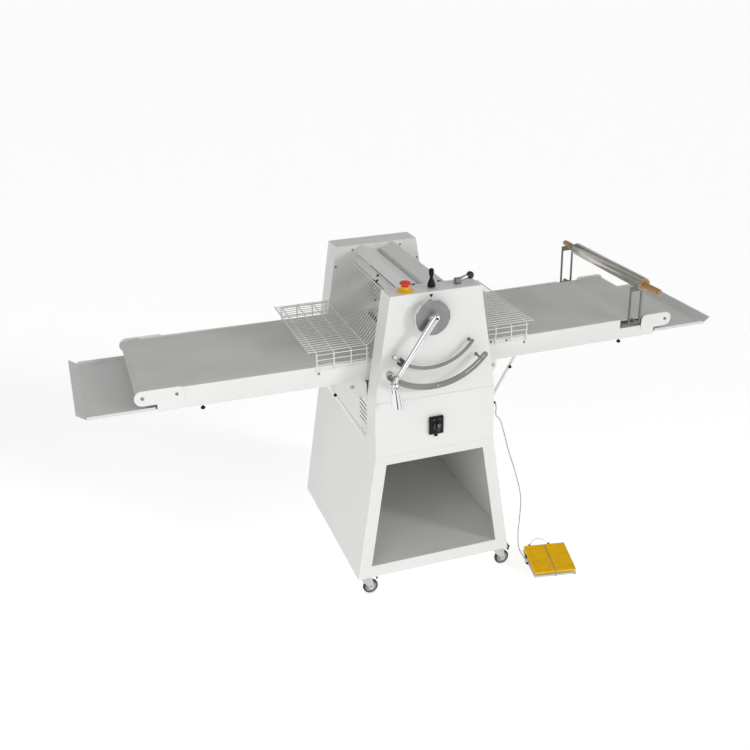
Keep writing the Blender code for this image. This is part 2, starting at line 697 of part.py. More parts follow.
# ---- gap lever ----
def build_lever():
    face = FRONT - GAP
    centre = (DIAL_X, DIAL_Z)
    bevel = 0.002
    profile = [(0.0, DIAL_DEPTH), (DIAL_R - bevel, DIAL_DEPTH), (DIAL_R, DIAL_DEPTH - bevel)]
    profile += [(DIAL_R, DIAL_DEPTH - DIAL_RIM + bevel), (DIAL_R - bevel, DIAL_DEPTH - DIAL_RIM)]
    profile += [(DIAL_NECK_R, DIAL_DEPTH - DIAL_RIM), (DIAL_NECK_R, 0.0), (0.0, 0.0)]
    dial = turned(profile, (DIAL_X, face, DIAL_Z), (0, -1, 0), 32)
    axis = (DIAL_X, face, DIAL_Z)
    part("gap_dial", dial, (0.55, 0.56, 0.57), 0.3, 0.8, origin=axis)

    tip = Vector((LEVER_TIP[0], LEVER_Y, LEVER_TIP[1]))
    hub_face = face - DIAL_DEPTH - GAP
    profile = [(0.0, 0.027), (0.0085, 0.026), (0.0150, 0.022), (HUB_R, 0.013), (HUB_R, 0.0), (0.0, 0.0)]
    hub = turned(profile, (DIAL_X, hub_face, DIAL_Z), (0, -1, 0), 24)
    root = (DIAL_X + ROD_ROOT[0], hub_face - ROD_R - 0.0006, DIAL_Z + ROD_ROOT[1])
    bar = wire([root, tuple(tip)], ROD_R, 3, (1.0, ROD_TIP_R / ROD_R))
    part("gap_lever", fuse([hub, bar]), (0.80, 0.81, 0.82), 0.1, 1.0, origin=axis)

    grip = Vector((0.095, 0.0, -0.955)).normalized()
    start = tip + Vector((-0.004, 0.0, -0.006))
    profile = [(0.0, 0.0), (0.0150, 0.0), (0.0162, -0.004), (0.0200, -0.080), (0.0215, -0.092), (0.019, -0.098)]
    handle = turned([*profile, (0.0, -0.098)], start, -grip, 24)
    part("lever_handle", handle, (0.78, 0.79, 0.80), 0.12, 1.0, origin=axis)

    for name, radius, width, first, last in (
        ("inner_arc", INNER_ARC_R, INNER_ARC_WIDTH, *INNER_ARC_ENDS),
        ("outer_arc", OUTER_ARC_R, OUTER_ARC_WIDTH, *OUTER_ARC_ENDS),
    ):
        outer = arc_points(centre, radius + width / 2, first, last, 28)
        inner = arc_points(centre, radius - width / 2, first, last, 28)
        band = prism([outer + inner[::-1]], ARC_Y - 0.002, ARC_Y + 0.002)
        posts = []
        for angle in (first + 0.22, last - 0.12):
            x, z = arc_points(centre, radius, angle, angle, 2)[0]
            posts.append(rod((x, face, z), (x, ARC_Y, z), 0.004, 12))
        if name == "outer_arc":
            x, z = arc_points(centre, radius - 0.006, STOP_KNOB_ANGLE, STOP_KNOB_ANGLE, 2)[0]
            posts.append(rod((x, ARC_Y, z), (x, STOP_KNOB_FRONT, z), 0.0125, 20))
        part(name, fuse([band, *posts]), STEEL, 0.25, 0.9)

    x, z = arc_points(centre, INNER_ARC_R, CLAMP_ANGLE, CLAMP_ANGLE, 2)[0]
    turn = Matrix.Translation((x, ARC_Y, z)) @ Matrix.Rotation(-CLAMP_ANGLE, 4, "Y")
    block = box((-0.009, -0.015, -0.013), (0.009, 0.0055, 0.013), 0.0015)
    groove = box((-0.020, -0.002 - GAP, -0.0067), (0.020, 0.002 + GAP, 0.0067))
    rear_slot = box((-0.020, 0.001, -0.0046), (0.020, 0.010, 0.0046))
    stem = rod((-0.005, -0.0115, 0.0), (-0.038, -0.0115, 0.004), 0.0035, 12)
    knob = rod((-0.032, -0.0115, 0.003), (-0.048, -0.0115, 0.005), 0.0085, 16)
    clamp = cut(fuse([block, stem, knob]), [groove, rear_slot])
    clamp.transform(turn)
    part("stop_clamp", clamp, (0.04, 0.04, 0.045), 0.35, origin=axis)


# ---- controls on top of the console ----
def build_controls():
    top = HEAD_TOP + GAP
    at = (-0.099, -0.319, top)
    profile = [(0.0, 0.0165), (0.0155, 0.0165), (0.0155, 0.003), (0.030, 0.003), (0.030, 0.0), (0.0, 0.0)]
    base = turned(profile, at, (0, 0, 1), 24)
    base = cut(base, [rod((at[0], at[1], top + 0.004), (at[0], at[1], top + 0.03), 0.0105, 20)])
    part("estop_base", base, (0.85, 0.62, 0.02), 0.45)
    profile = [(0.0, 0.0355), (0.009, 0.0350), (0.0165, 0.0325), (0.0203, 0.0285), (0.0203, 0.0260), (0.0101, 0.0235)]
    profile += [(0.0101, 0.010), (0.0, 0.010)]
    part("estop_button", turned(profile, at, (0, 0, 1), 24), (0.65, 0.02, 0.02), 0.35, origin=at)

    at = (-0.0035, -0.321, top)
    profile = [(0.0, 0.069), (0.0068, 0.067), (0.0088, 0.060), (0.0082, 0.046), (0.0058, 0.040), (0.0058, 0.031)]
    profile += [(0.0106, 0.020), (0.0135, 0.008), (0.0135, 0.0045), (0.004, 0.0045), (0.004, 0.001), (0.0, 0.001)]
    part("joystick", turned(profile, at, (0, 0, 1), 16), (0.02, 0.02, 0.022), 0.45, origin=at)

    at = (0.0965, -0.3155, top)
    ball = (0.144, -0.315, 1.231)
    bm = bmesh.new()
    bmesh.ops.create_uvsphere(bm, u_segments=16, v_segments=10, radius=0.014)
    bmesh.ops.translate(bm, vec=ball, verts=bm.verts)
    bush = box((at[0] - 0.0105, at[1] - 0.0105, top), (at[0] + 0.0105, at[1] + 0.0105, top + 0.020), 0.0015)
    arm = rod((at[0], at[1], top + 0.012), ball, 0.0055, 12)
    part("ball_lever", fuse([bush, arm, mesh_of(bm)]), (0.05, 0.05, 0.055), 0.35, origin=at)


# ---- casters ----
def build_casters():
    for end, y in (("front", -CASTER_Y), ("back", CASTER_Y)):
        for side, sign in (("left", -1), ("right", 1)):
            x = sign * CASTER_X
            axle_x = x + CASTER_TRAIL
            top = BASE_BOTTOM - GAP
            half = WHEEL_WIDTH / 2
            plate = box((x - 0.026, y - 0.020, top - 0.003), (x + 0.026, y + 0.020, top))
            stem = rod((x, y, top - 0.012), (x, y, top - 0.002), 0.018, 20)
            crown = box((x - 0.014, y - half - 0.0045, top - 0.0200), (x + 0.026, y + half + 0.0045, top - 0.011))
            arms = []
            for low in (y - half - 0.0045, y + half + 0.0020):
                outline = [
                    (x - 0.012, top - 0.012),
                    (x + 0.026, top - 0.012),
                    (axle_x + 0.010, WHEEL_R),
                    (axle_x, WHEEL_R - 0.009),
                    (axle_x - 0.010, WHEEL_R),
                ]
                arms.append(prism([outline], low, low + 0.0025))
            axle = rod((axle_x, y - half - 0.0055, WHEEL_R), (axle_x, y + half + 0.0055, WHEEL_R), 0.004, 12)
            name = f"{end}_{side}"
            fork = fuse([stem, crown, *arms, axle, plate])
            part(f"caster_fork_{name}", fork, (0.60, 0.61, 0.60), 0.35, 0.9, origin=(x, y, top))
            profile = [
                (0.0044, half - 0.001),
                (WHEEL_R - 0.003, half - 0.001),
                (WHEEL_R, half - 0.004),
                (WHEEL_R, 0.004 - half),
                (WHEEL_R - 0.003, 0.001 - half),
                (0.0044, 0.001 - half),
                (0.0044, half - 0.001),
            ]
            at = (axle_x, y, WHEEL_R)
            wheel = turned(profile, at, (0, 1, 0), 24)
            part(f"caster_wheel_{name}", wheel, (0.30, 0.31, 0.32), 0.6, origin=at)


# ---- foot pedal and its cord ----
def sloped(mesh, low_drop, high_drop):
    """Lowers a pedal piece towards its front edge, more at the pads' top than at their underside."""
    for vertex in mesh.vertices:
        share = (PEDAL_HINGE_Y - vertex.co.y) / PEDAL_RUN
        height = (vertex.co.z - PEDAL_UNDER) / (PEDAL_TOP - PEDAL_UNDER)
        vertex.co.z -= share * (low_drop + (high_drop - low_drop) * height)
    return mesh


def build_pedal():
    holder = empty("pedal_unit", (PEDAL_X, PEDAL_Y, 0.0), turn_z=PEDAL_TURN)
    half = PEDAL_BASE / 2
    back = half - 0.006
    base = box((-half, -half, 0.0), (half, half, 0.020), 0.003)
    for vertex in base.vertices:
        if vertex.co.z > 0.010:
            vertex.co.z -= PEDAL_BASE_DROP * (half - vertex.co.y) / PEDAL_BASE
    wall = box((-half + 0.004, back - 0.004, 0.015), (half - 0.004, back + 0.003, 0.040), 0.001)
    divider = sloped(box((-0.0015, -half + 0.010, 0.005), (0.0015, back, 0.0425)), PEDAL_LOW_DROP, PEDAL_HIGH_DROP)
    part("pedal_base", fuse([base, divider, wall]), (0.62, 0.47, 0.10), 0.5, parent=holder)
    for side, sign in (("left", -1), ("right", 1)):
        near = sorted((sign * 0.0022, sign * PEDAL_PAD_HALF))
        pad = box((near[0], PEDAL_HINGE_Y - PEDAL_RUN, PEDAL_UNDER), (near[1], PEDAL_HINGE_Y, PEDAL_TOP), 0.002)
        at = (sign * 0.04, PEDAL_HINGE_Y, 0.036)
        pad = sloped(pad, PEDAL_LOW_DROP, PEDAL_HIGH_DROP)
        part(f"pedal_{side}", pad, (0.90, 0.66, 0.05), 0.45, origin=at, parent=holder)


CORD_R = 0.0022
CORD_ROUTE = (
    (0.2345, -0.3510, 0.7385),
    (0.2395, -0.3540, 0.7380),
    (0.2395, -0.3615, 0.7200),
    (0.2390, -0.3640, 0.6900),
    (0.2600, -0.3640, 0.6604),
    (0.2932, -0.3682, 0.5375),
    (0.3233, -0.3724, 0.4409),
    (0.3450, -0.3767, 0.3555),
    (0.3499, -0.3809, 0.2967),
    (0.3453, -0.3851, 0.2268),
    (0.3399, -0.3893, 0.1753),
    (0.3414, -0.3936, 0.1151),
    (0.3528, -0.3978, 0.0769),
    (0.3720, -0.3990, 0.0422),
    (0.3790, -0.3950, 0.0180),
    (0.3900, -0.3890, 0.0110),
)


def smooth_route(points, spacing):
    """Points at even steps along a smooth curve through the given ones."""
    fine = []
    last = len(points) - 1
    for index in range(last):
        p0, p1, p2, p3 = (Vector(points[min(max(index + k, 0), last)]) for k in (-1, 0, 1, 2))
        for step in range(40):
            t = step / 40
            fine.append(
                0.5 * ((2 * p1) + (p2 - p0) * t + (2 * p0 - 5 * p1 + 4 * p2 - p3) * t * t)
                + 0.5 * (3 * p1 - p0 - 3 * p2 + p3) * t ** 3
            )
    fine.append(Vector(points[-1]))
    even = [fine[0]]
    for point in fine[1:]:
        if (point - even[-1]).length >= spacing:
            even.append(point)
    return [tuple(point) for point in even]


def build_cord():
    part("pedal_cord", wire(smooth_route(CORD_ROUTE, 0.0135), CORD_R, 2), (0.75, 0.75, 0.74), 0.5)


build_base()
build_switch()
build_head()
build_rollers()
build_table("left", -1)
build_table("right", 1)
build_supports()
build_guard("left", -1)
build_guard("right", 1)
build_lever()
build_controls()
build_casters()
build_pedal()
build_cord()
HELPERS.hide_render = True
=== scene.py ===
"""Looks for the dough sheeter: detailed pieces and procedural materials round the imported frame."""
import json
import math

import bmesh
import bpy
from mathutils import Matrix, Vector


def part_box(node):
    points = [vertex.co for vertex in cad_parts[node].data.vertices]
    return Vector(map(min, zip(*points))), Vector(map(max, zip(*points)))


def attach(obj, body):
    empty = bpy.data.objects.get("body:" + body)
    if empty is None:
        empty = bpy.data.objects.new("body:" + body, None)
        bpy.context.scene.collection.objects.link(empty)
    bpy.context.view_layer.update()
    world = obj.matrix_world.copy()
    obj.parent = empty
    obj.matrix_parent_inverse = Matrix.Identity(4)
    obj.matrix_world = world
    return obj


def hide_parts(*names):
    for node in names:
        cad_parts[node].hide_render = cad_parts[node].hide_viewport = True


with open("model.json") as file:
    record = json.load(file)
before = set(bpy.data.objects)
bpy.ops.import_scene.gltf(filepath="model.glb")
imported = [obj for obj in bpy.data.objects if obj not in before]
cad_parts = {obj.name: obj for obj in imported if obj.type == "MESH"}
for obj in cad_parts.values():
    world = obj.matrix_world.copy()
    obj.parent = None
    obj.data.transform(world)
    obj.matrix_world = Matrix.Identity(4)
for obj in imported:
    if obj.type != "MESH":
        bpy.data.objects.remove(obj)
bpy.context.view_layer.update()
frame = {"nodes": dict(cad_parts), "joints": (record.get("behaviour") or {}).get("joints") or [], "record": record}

JOINTS = {joint["name"]: joint for joint in frame["joints"]}
BODY_OF = {node: body for body, nodes in frame["record"]["behaviour"]["bodies"].items() for node in nodes}
SIDES = (("left", -1), ("right", 1))
MID_Y = sum(corner.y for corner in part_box("belt_left")) / 2
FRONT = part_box("console_cover")[0].y


def joint_at(name):
    return Vector(JOINTS[name]["pos_m"])


def at(x, y, z):
    """A point given from the middle plane of the tables."""
    return Vector((x, y + MID_Y, z))


def linked(made):
    bpy.context.scene.collection.objects.link(made)
    return made


# ---------------------------------------------------------------- camera, light and stage
CAMERA_PLACE = (-1.1992, -3.2709, 2.3008)
CAMERA_RIGHT = (0.94561, -0.32473, -0.01967)
CAMERA_UP = (0.14960, 0.38034, 0.91266)
CAMERA_LENS = 46.58
CAMERA_SENSOR = 36.0

KEY_STRENGTH = 0.80
KEY_SOFTNESS = math.radians(12.0)
KEY_TRAVEL = (-0.9, 1.0, -0.45)
KEY_COLOUR = (1.0, 0.985, 0.96)
FILL_SIZE = 2.4
FILL_POWER = 26
FILL_PLACE = (-2.7, -2.8, 2.7)
FILL_AIM = (0.0, 0.0, 0.8)

# Each card: the foot's place in X and Y, and the card's width.
CARDS = (((-0.50, -1.80), 0.50), ((-1.90, -0.20), 0.55), ((1.40, -1.50), 0.35))
CARD_HEIGHT = 0.85
CARD_FOOT = 0.002

# The surroundings' brightness from left to right: the share of the way, and the level there.
WORLD_ENDS = (0.60, 0.75)
WORLD_BANDS = (
    (0.15, 0.68),
    (0.18, 0.15),
    (0.21, 0.15),
    (0.24, 1.0),
    (0.52, 1.0),
    (0.545, 0.06),
    (0.605, 0.06),
    (0.63, 0.95),
    (0.81, 0.95),
    (0.84, 0.15),
    (0.88, 0.15),
    (0.91, 0.80),
)
WORLD_STRENGTH = 0.98
FRONT_LEVEL = 0.72
BACK_LEVEL = 0.70
TOP_LEVEL = 0.72

FLOOR_REACH = 150.0
FLOOR_DROP = 0.0005
FLOOR_GLOW = 0.50
PAPER_WHITE = (1.0, 1.0, 1.0, 1.0)


def build_camera():
    right = Vector(CAMERA_RIGHT).normalized()
    up = Vector(CAMERA_UP).normalized()
    back = right.cross(up)
    data = bpy.data.cameras.new("camera")
    data.sensor_width = CAMERA_SENSOR
    data.lens = CAMERA_LENS
    data.clip_end = 60.0
    camera = linked(bpy.data.objects.new("camera", data))
    turn = Matrix((right, up, back)).transposed().to_4x4()
    camera.matrix_world = Matrix.Translation(at(*CAMERA_PLACE)) @ turn
    bpy.context.scene.camera = camera


def add_light(name, kind, energy, travel):
    """A light that shines the way it is told to."""
    data = bpy.data.lights.new(name, kind)
    data.energy = energy
    light = linked(bpy.data.objects.new(name, data))
    light.rotation_euler = Vector(travel).to_track_quat("-Z", "Y").to_euler()
    return light


def build_key():
    """One soft key light from the right, the front and a little above."""
    key = add_light("key", "SUN", KEY_STRENGTH, KEY_TRAVEL)
    key.data.angle = KEY_SOFTNESS
    key.data.color = KEY_COLOUR


def build_fill():
    """A broad, weak light beside the camera that opens up the sides and hollows turned away from the key."""
    fill = add_light("fill", "AREA", FILL_POWER, at(*FILL_AIM) - at(*FILL_PLACE))
    fill.data.size = FILL_SIZE
    fill.location = at(*FILL_PLACE)


def build_cards():
    """Black studio cards that only polished surfaces see."""
    rise = Vector((0, 0, CARD_HEIGHT))
    bm = bmesh.new()
    for (x, y), width in CARDS:
        side = Vector((-y, x, 0.0)).normalized() * width / 2
        foot = at(x, y, CARD_FOOT)
        corners = [foot - side, foot + side, foot + side + rise, foot - side + rise]
        bm.faces.new([bm.verts.new(corner) for corner in corners])
    mesh = bpy.data.meshes.new("cards")
    bm.to_mesh(mesh)
    bm.free()
    mesh.materials.append(surface("black_card", (0.010, 0.010, 0.010), (0.016, 0.016, 0.016), 0.8))
    cards = linked(bpy.data.objects.new("cards", mesh))
    cards.visible_camera = False
    cards.visible_diffuse = False
    cards.visible_shadow = False


def world_levels(tree):
    """The surroundings' brightness: bands from left to right, fading to the back and to the top."""
    coords = tree.nodes.new("ShaderNodeTexCoord")
    split = node(tree, "ShaderNodeSeparateXYZ", Vector=coords.outputs["Generated"])
    place = node(tree, "ShaderNodeMapRange", **{"Value": split.outputs["X"], "From Min": -1.0})
    bands = node(tree, "ShaderNodeValToRGB", Fac=place.outputs["Result"])
    elements = bands.color_ramp.elements
    for element, level in zip(elements, WORLD_ENDS):
        element.color = (level, level, level, 1.0)
    for position, level in WORLD_BANDS:
        elements.new(position).color = (level, level, level, 1.0)
    levels = bands.outputs["Color"]
    for axis, low, first, last in (("Y", -1.0, FRONT_LEVEL, BACK_LEVEL), ("Z", 0.0, 1.0, TOP_LEVEL)):
        limits = {"Value": split.outputs[axis], "From Min": low, "To Min": first, "To Max": last}
        fade = node(tree, "ShaderNodeMapRange", **limits)
        scaled = node(tree, "ShaderNodeVectorMath", {"operation": "SCALE"}, Scale=fade.outputs["Result"])
        tree.links.new(levels, scaled.inputs[0])
        levels = scaled.outputs["Vector"]
    return levels


def build_world():
    """Soft studio surroundings, with dark upright bands that polished metal shows, and a plain backdrop."""
    world = bpy.data.worlds.new("studio")
    bpy.context.scene.world = world
    world.use_nodes = True
    tree = world.node_tree
    studio = tree.nodes["Background"]
    tree.links.new(world_levels(tree), studio.inputs["Color"])
    studio.inputs["Strength"].default_value = WORLD_STRENGTH
    backdrop = node(tree, "ShaderNodeBackground", Color=PAPER_WHITE)
    rays = tree.nodes.new("ShaderNodeLightPath")
    seen = node(tree, "ShaderNodeMixShader", Fac=rays.outputs["Is Camera Ray"])
    tree.links.new(studio.outputs[0], seen.inputs[1])
    tree.links.new(backdrop.outputs[0], seen.inputs[2])
    tree.links.new(seen.outputs[0], tree.nodes["World Output"].inputs["Surface"])


def build_floor():
    corners = [(x * FLOOR_REACH, y * FLOOR_REACH, 0) for x, y in ((-1, -1), (1, -1), (1, 1), (-1, 1))]
    mesh = bpy.data.meshes.new("floor")
    mesh.from_pydata(corners, [], [(0, 1, 2, 3)])
    paper = surface("floor_paper", (0.95, 0.95, 0.95), (0.93, 0.93, 0.93), 0.85, 0.05, 0.0, 3.0)
    shader = paper.node_tree.nodes["Principled BSDF"]
    shader.inputs["Emission Color"].default_value = PAPER_WHITE
    shader.inputs["Emission Strength"].default_value = FLOOR_GLOW
    mesh.materials.append(paper)
    floor = linked(bpy.data.objects.new("floor", mesh))
    floor.location.z = -FLOOR_DROP


def build_stage():
    build_world()
    build_floor()
    build_key()
    build_fill()
    build_cards()
    bpy.context.scene.view_settings.view_transform = "Standard"


# ---------------------------------------------------------------- materials
EVEN = (1.0, 1.0, 1.0)


def new_material(name):
    made = bpy.data.materials.new(name)
    made.use_nodes = True
    tree = made.node_tree
    return made, tree, tree.nodes["Principled BSDF"]


def node(tree, kind, settings=None, **inputs):
    """A shader node. Settings are its own options, and an input takes a value or another node's socket."""
    made = tree.nodes.new(kind)
    for key, value in (settings or {}).items():
        setattr(made, key, value)
    for key, value in inputs.items():
        if isinstance(value, bpy.types.NodeSocket):
            tree.links.new(value, made.inputs[key])
        else:
            made.inputs[key].default_value = value
    return made


def maths(tree, operation, *values):
    """A maths node on numbers and sockets, in the order of its inputs."""
    made = node(tree, "ShaderNodeMath", {"operation": operation})
    for socket, value in zip(made.inputs, values):
        if isinstance(value, float):
            socket.default_value = value
        else:
            tree.links.new(value, socket)
    return made.outputs[0]


def mixed(tree, blend_type, **inputs):
    settings = {"data_type": "RGBA", "blend_type": blend_type}
    return node(tree, "ShaderNodeMix", settings, **inputs).outputs["Result"]


def object_coords(tree, scale=EVEN):
    coords = tree.nodes.new("ShaderNodeTexCoord")
    return node(tree, "ShaderNodeMapping", Vector=coords.outputs["Object"], Scale=scale).outputs["Vector"]


def noise(tree, scale, detail=3.0, stretch=EVEN):
    made = node(tree, "ShaderNodeTexNoise", Vector=object_coords(tree, stretch), Scale=scale, Detail=detail)
    return made.outputs["Fac"]


def ramp(tree, value, low, high, first, last):
    made = node(tree, "ShaderNodeValToRGB", Fac=value)
    for element, position, colour in zip(made.color_ramp.elements, (low, high), (first, last)):
        element.position = position
        element.color = (*colour, 1.0)
    return made.outputs["Color"]


def spread(tree, value, low, high):
    """The middle of a noise's range, stretched over the given one."""
    limits = {"Value": value, "From Min": 0.3, "From Max": 0.7, "To Min": low, "To Max": high}
    return node(tree, "ShaderNodeMapRange", **limits).outputs["Result"]


def bump(tree, shader, height, distance, strength=1.0):
    made = node(tree, "ShaderNodeBump", Height=height, Distance=distance, Strength=strength)
    tree.links.new(made.outputs["Normal"], shader.inputs["Normal"])


def surface(
    name, colour, accent, rough, vary=0.06, metallic=0.0, patch=5.0, grain=900.0, depth=0.00008,
    stretch=EVEN, coat=0.0, edge=None,
):
    """Colour drifting in patches, roughness that varies, fine grain in the bump, and a painted highlight: the
    given edge colour on sharp convex edges.
    """
    made, tree, shader = new_material(name)
    patches = noise(tree, patch, 4.0)
    fine = noise(tree, grain, 2.0, stretch)
    tint = ramp(tree, patches, 0.35, 0.65, colour, accent)
    # Painted highlight: sharp convex edges, found by pointiness, take the given edge colour.
    if edge:
        pointed = tree.nodes.new("ShaderNodeNewGeometry").outputs["Pointiness"]
        edge_highlight_mask = ramp(tree, pointed, 0.52, 0.60, (0.0, 0.0, 0.0), (0.55, 0.55, 0.55))
        tint = mixed(tree, "MIX", Factor=edge_highlight_mask, A=tint, B=(*edge, 1.0))
    tree.links.new(tint, shader.inputs["Base Color"])
    drift = maths(tree, "MULTIPLY_ADD", fine, 0.5, maths(tree, "MULTIPLY", patches, 0.5))
    tree.links.new(spread(tree, drift, max(rough - vary, 0.02), rough + vary), shader.inputs["Roughness"])
    shader.inputs["Metallic"].default_value = metallic
    shader.inputs["Coat Weight"].default_value = coat
    shader.inputs["Coat Roughness"].default_value = 0.12
    bump(tree, shader, fine, depth)
    return made


def powder_coat(name, colour):
    darker = tuple(part * 0.975 for part in colour)
    # Painted highlight: a lighter copy of the body colour, put on sharp convex edges.
    edge = tuple(min(part * 1.06, 1.0) for part in colour)
    return surface(name, colour, darker, 0.42, 0.07, 0.0, 3.0, 1100.0, 0.00006, coat=0.12, edge=edge)


def plated(name, colour, rough, stretch=EVEN, grain=700.0):
    darker = tuple(part * 0.88 for part in colour)
    return surface(name, colour, darker, rough, 0.05, 1.0, 22.0, grain, 0.00002, stretch)


def plastic(name, colour, rough, coat=0.0, specular=0.5):
    lighter = tuple(min(part * 1.15 + 0.004, 1.0) for part in colour)
    made = surface(name, colour, lighter, rough, 0.06, 0.0, 35.0, 2200.0, 0.00004, coat=coat)
    made.node_tree.nodes["Principled BSDF"].inputs["Specular IOR Level"].default_value = specular
    return made


def belt_cloth():
    """Woven cotton belt: a plain weave of crossed threads, with a felted nap and faint flour marks."""
    made, tree, shader = new_material("belt_cotton_weave")
    threads = []
    for direction in ("X", "Y"):
        wave = {"Scale": 330.0, "Distortion": 1.2, "Detail": 2.0, "Detail Scale": 1.5}
        thread = node(
            tree, "ShaderNodeTexWave", {"bands_direction": direction}, Vector=object_coords(tree), **wave
        )
        threads.append(thread.outputs["Fac"])
    weave = maths(tree, "MULTIPLY", *threads)
    nap = noise(tree, 240.0, 5.0)
    dust = noise(tree, 4.0, 5.0, (1.0, 2.2, 1.0))
    tint = ramp(tree, dust, 0.32, 0.68, (0.70, 0.70, 0.665), (0.75, 0.75, 0.715))
    shade = ramp(tree, weave, 0.05, 0.75, (0.62, 0.62, 0.61), EVEN)
    tree.links.new(mixed(tree, "MULTIPLY", Factor=0.30, A=tint, B=shade), shader.inputs["Base Color"])
    tree.links.new(spread(tree, nap, 0.86, 0.97), shader.inputs["Roughness"])
    shader.inputs["Sheen Weight"].default_value = 0.25
    shader.inputs["Sheen Roughness"].default_value = 0.6
    bump(tree, shader, maths(tree, "ADD", weave, nap), 0.00025, 0.7)
    return made


def beech():
    """Turned beech: growth rings along the handle with darker pores and an oiled surface, smoothed by use."""
    made, tree, shader = new_material("oiled_beech")
    wave = {"Scale": 26.0, "Distortion": 5.0, "Detail": 3.0, "Detail Scale": 1.2}
    along = object_coords(tree, (4.0, 0.7, 4.0))
    rings = node(tree, "ShaderNodeTexWave", {"bands_direction": "X"}, Vector=along, **wave)
    pores = noise(tree, 500.0, 3.0, (1.0, 0.06, 1.0))
    tint = ramp(tree, rings.outputs["Fac"], 0.15, 0.9, (0.40, 0.20, 0.075), (0.62, 0.37, 0.16))
    shade = ramp(tree, pores, 0.35, 0.62, (0.62, 0.5, 0.4), EVEN)
    tree.links.new(mixed(tree, "MULTIPLY", Factor=0.5, A=tint, B=shade), shader.inputs["Base Color"])
    tree.links.new(spread(tree, pores, 0.5, 0.38), shader.inputs["Roughness"])
    bump(tree, shader, pores, 0.00012)
    return made


WHITE = powder_coat("powder_white", (0.82, 0.83, 0.81))
WHITE_WIRE = surface(
    "coated_wire", (0.90, 0.90, 0.86), (0.86, 0.86, 0.82), 0.35, 0.06, 0.0, 30.0, 900.0, coat=0.3
)
TRAY_GREY = powder_coat("tray_grey", (0.70, 0.72, 0.70))
BRACKET_GREY = powder_coat("bracket_grey", (0.78, 0.80, 0.78))
MOTOR_BLUE = powder_coat("motor_grey_blue", (0.10, 0.13, 0.17))
ZINC = plated("zinc_plate", (0.62, 0.63, 0.62), 0.34)
BRUSHED = plated("steel_brushed_along", (0.60, 0.585, 0.53), 0.27, (1.0, 0.03, 1.0), 1600.0)
NICKEL = plated("nickel_knurled", (0.66, 0.64, 0.58), 0.28)
ARC_STEEL = plated("arc_steel", (0.27, 0.29, 0.275), 0.33, (0.3, 1.0, 1.0), 1200.0)
FORK_STEEL = plated("fork_steel", (0.24, 0.27, 0.25), 0.42)
DARK_STEEL = plated("steel_dark", (0.32, 0.33, 0.33), 0.38)
CHROME = surface("chrome", (0.86, 0.87, 0.88), (0.80, 0.81, 0.82), 0.075, 0.03, 1.0, 14.0, 60.0, 0.000004)
ROLLER_CHROME = plated("roller_chrome", (0.80, 0.81, 0.82), 0.13, (1.0, 0.04, 1.0), 900.0)
DIAL_FACE = plated("dial_face", (0.33, 0.34, 0.335), 0.48)
BLACK = plastic("black_plastic", (0.006, 0.006, 0.007), 0.50, specular=0.22)
BLACK_GLOSS = plastic("black_gloss", (0.010, 0.010, 0.011), 0.16, 0.4)
RED = plastic("red_button", (0.72, 0.035, 0.008), 0.34, 0.1)
YELLOW = plastic("yellow_ring", (0.86, 0.50, 0.010), 0.32, 0.3)
PEDAL_YELLOW = plastic("pedal_yellow", (0.90, 0.50, 0.002), 0.60, specular=0.15)
TYRE = plastic("grey_tyre", (0.035, 0.037, 0.038), 0.6)
HUB = plastic("hub_grey", (0.32, 0.33, 0.34), 0.45)
CABLE = plastic("cable_grey", (0.40, 0.40, 0.40), 0.45)
RUBBER = plastic("roller_rubber", (0.06, 0.06, 0.062), 0.7)
BELT = belt_cloth()
WOOD = beech()


# ---------------------------------------------------------------- shape helpers
def mesh_of(bm):
    mesh = bpy.data.meshes.new("piece")
    bmesh.ops.recalc_face_normals(bm, faces=bm.faces)
    bm.to_mesh(mesh)
    bm.free()
    return mesh


def lathe(profile, base, direction, steps=48):
    """A turned shape from (radius, height) pairs; a radius of zero closes the end."""
    bm = bmesh.new()
    step = 2 * math.pi / steps
    rows = []
    for radius, height in profile:
        if radius < 1e-7:
            rows.append([bm.verts.new((0.0, 0.0, height))])
            continue
        ring = [(radius * math.cos(step * i), radius * math.sin(step * i), height) for i in range(steps)]
        rows.append([bm.verts.new(place) for place in ring])
    for low, high in zip(rows, rows[1:]):
        for i in range(steps):
            j = (i + 1) % steps
            if len(low) == 1 and len(high) > 1:
                bm.faces.new((low[0], high[i], high[j]))
            elif len(high) == 1 and len(low) > 1:
                bm.faces.new((low[i], high[0], low[j]))
            elif len(low) > 1:
                bm.faces.new((low[i], low[j], high[j], high[i]))
    turn = Vector((0, 0, 1)).rotation_difference(Vector(direction)).to_matrix().to_4x4()
    bmesh.ops.transform(bm, matrix=Matrix.Translation(base) @ turn, verts=bm.verts)
    return mesh_of(bm)


def mirrored(profile):
    """A lathe profile with two like ends: the given half, then its mirror image."""
    return profile + [(radius, -height) for radius, height in reversed(profile)]


def ball(radius, rows):
    """A sphere's lathe profile, from its top down."""
    angles = [math.pi * index / rows for index in range(1, rows)]
    middle = [(radius * math.sin(angle), radius * math.cos(angle)) for angle in angles]
    return [(0.0, radius), *middle, (0.0, -radius)]


def ribbed(mesh, place, way, depth, wider=0.0, span=(-1.0, 1.0)):
    """Draws every other point in towards the axis by a share of its distance, for a knob's grip."""
    way = Vector(way)
    for index, vertex in enumerate(mesh.vertices):
        reach = (vertex.co - Vector(place)).dot(way)
        offset = vertex.co - Vector(place) - way * reach
        if index % 2 and offset.length > wider and span[0] < reach < span[1]:
            vertex.co -= offset * depth
    return mesh


def box_mesh(low, high):
    """A plain box, still being worked on."""
    low = Vector(low)
    high = Vector(high)
    bm = bmesh.new()
    bmesh.ops.create_cube(bm, size=1.0)
    bmesh.ops.scale(bm, vec=high - low, verts=bm.verts)
    bmesh.ops.translate(bm, vec=(low + high) / 2, verts=bm.verts)
    return bm


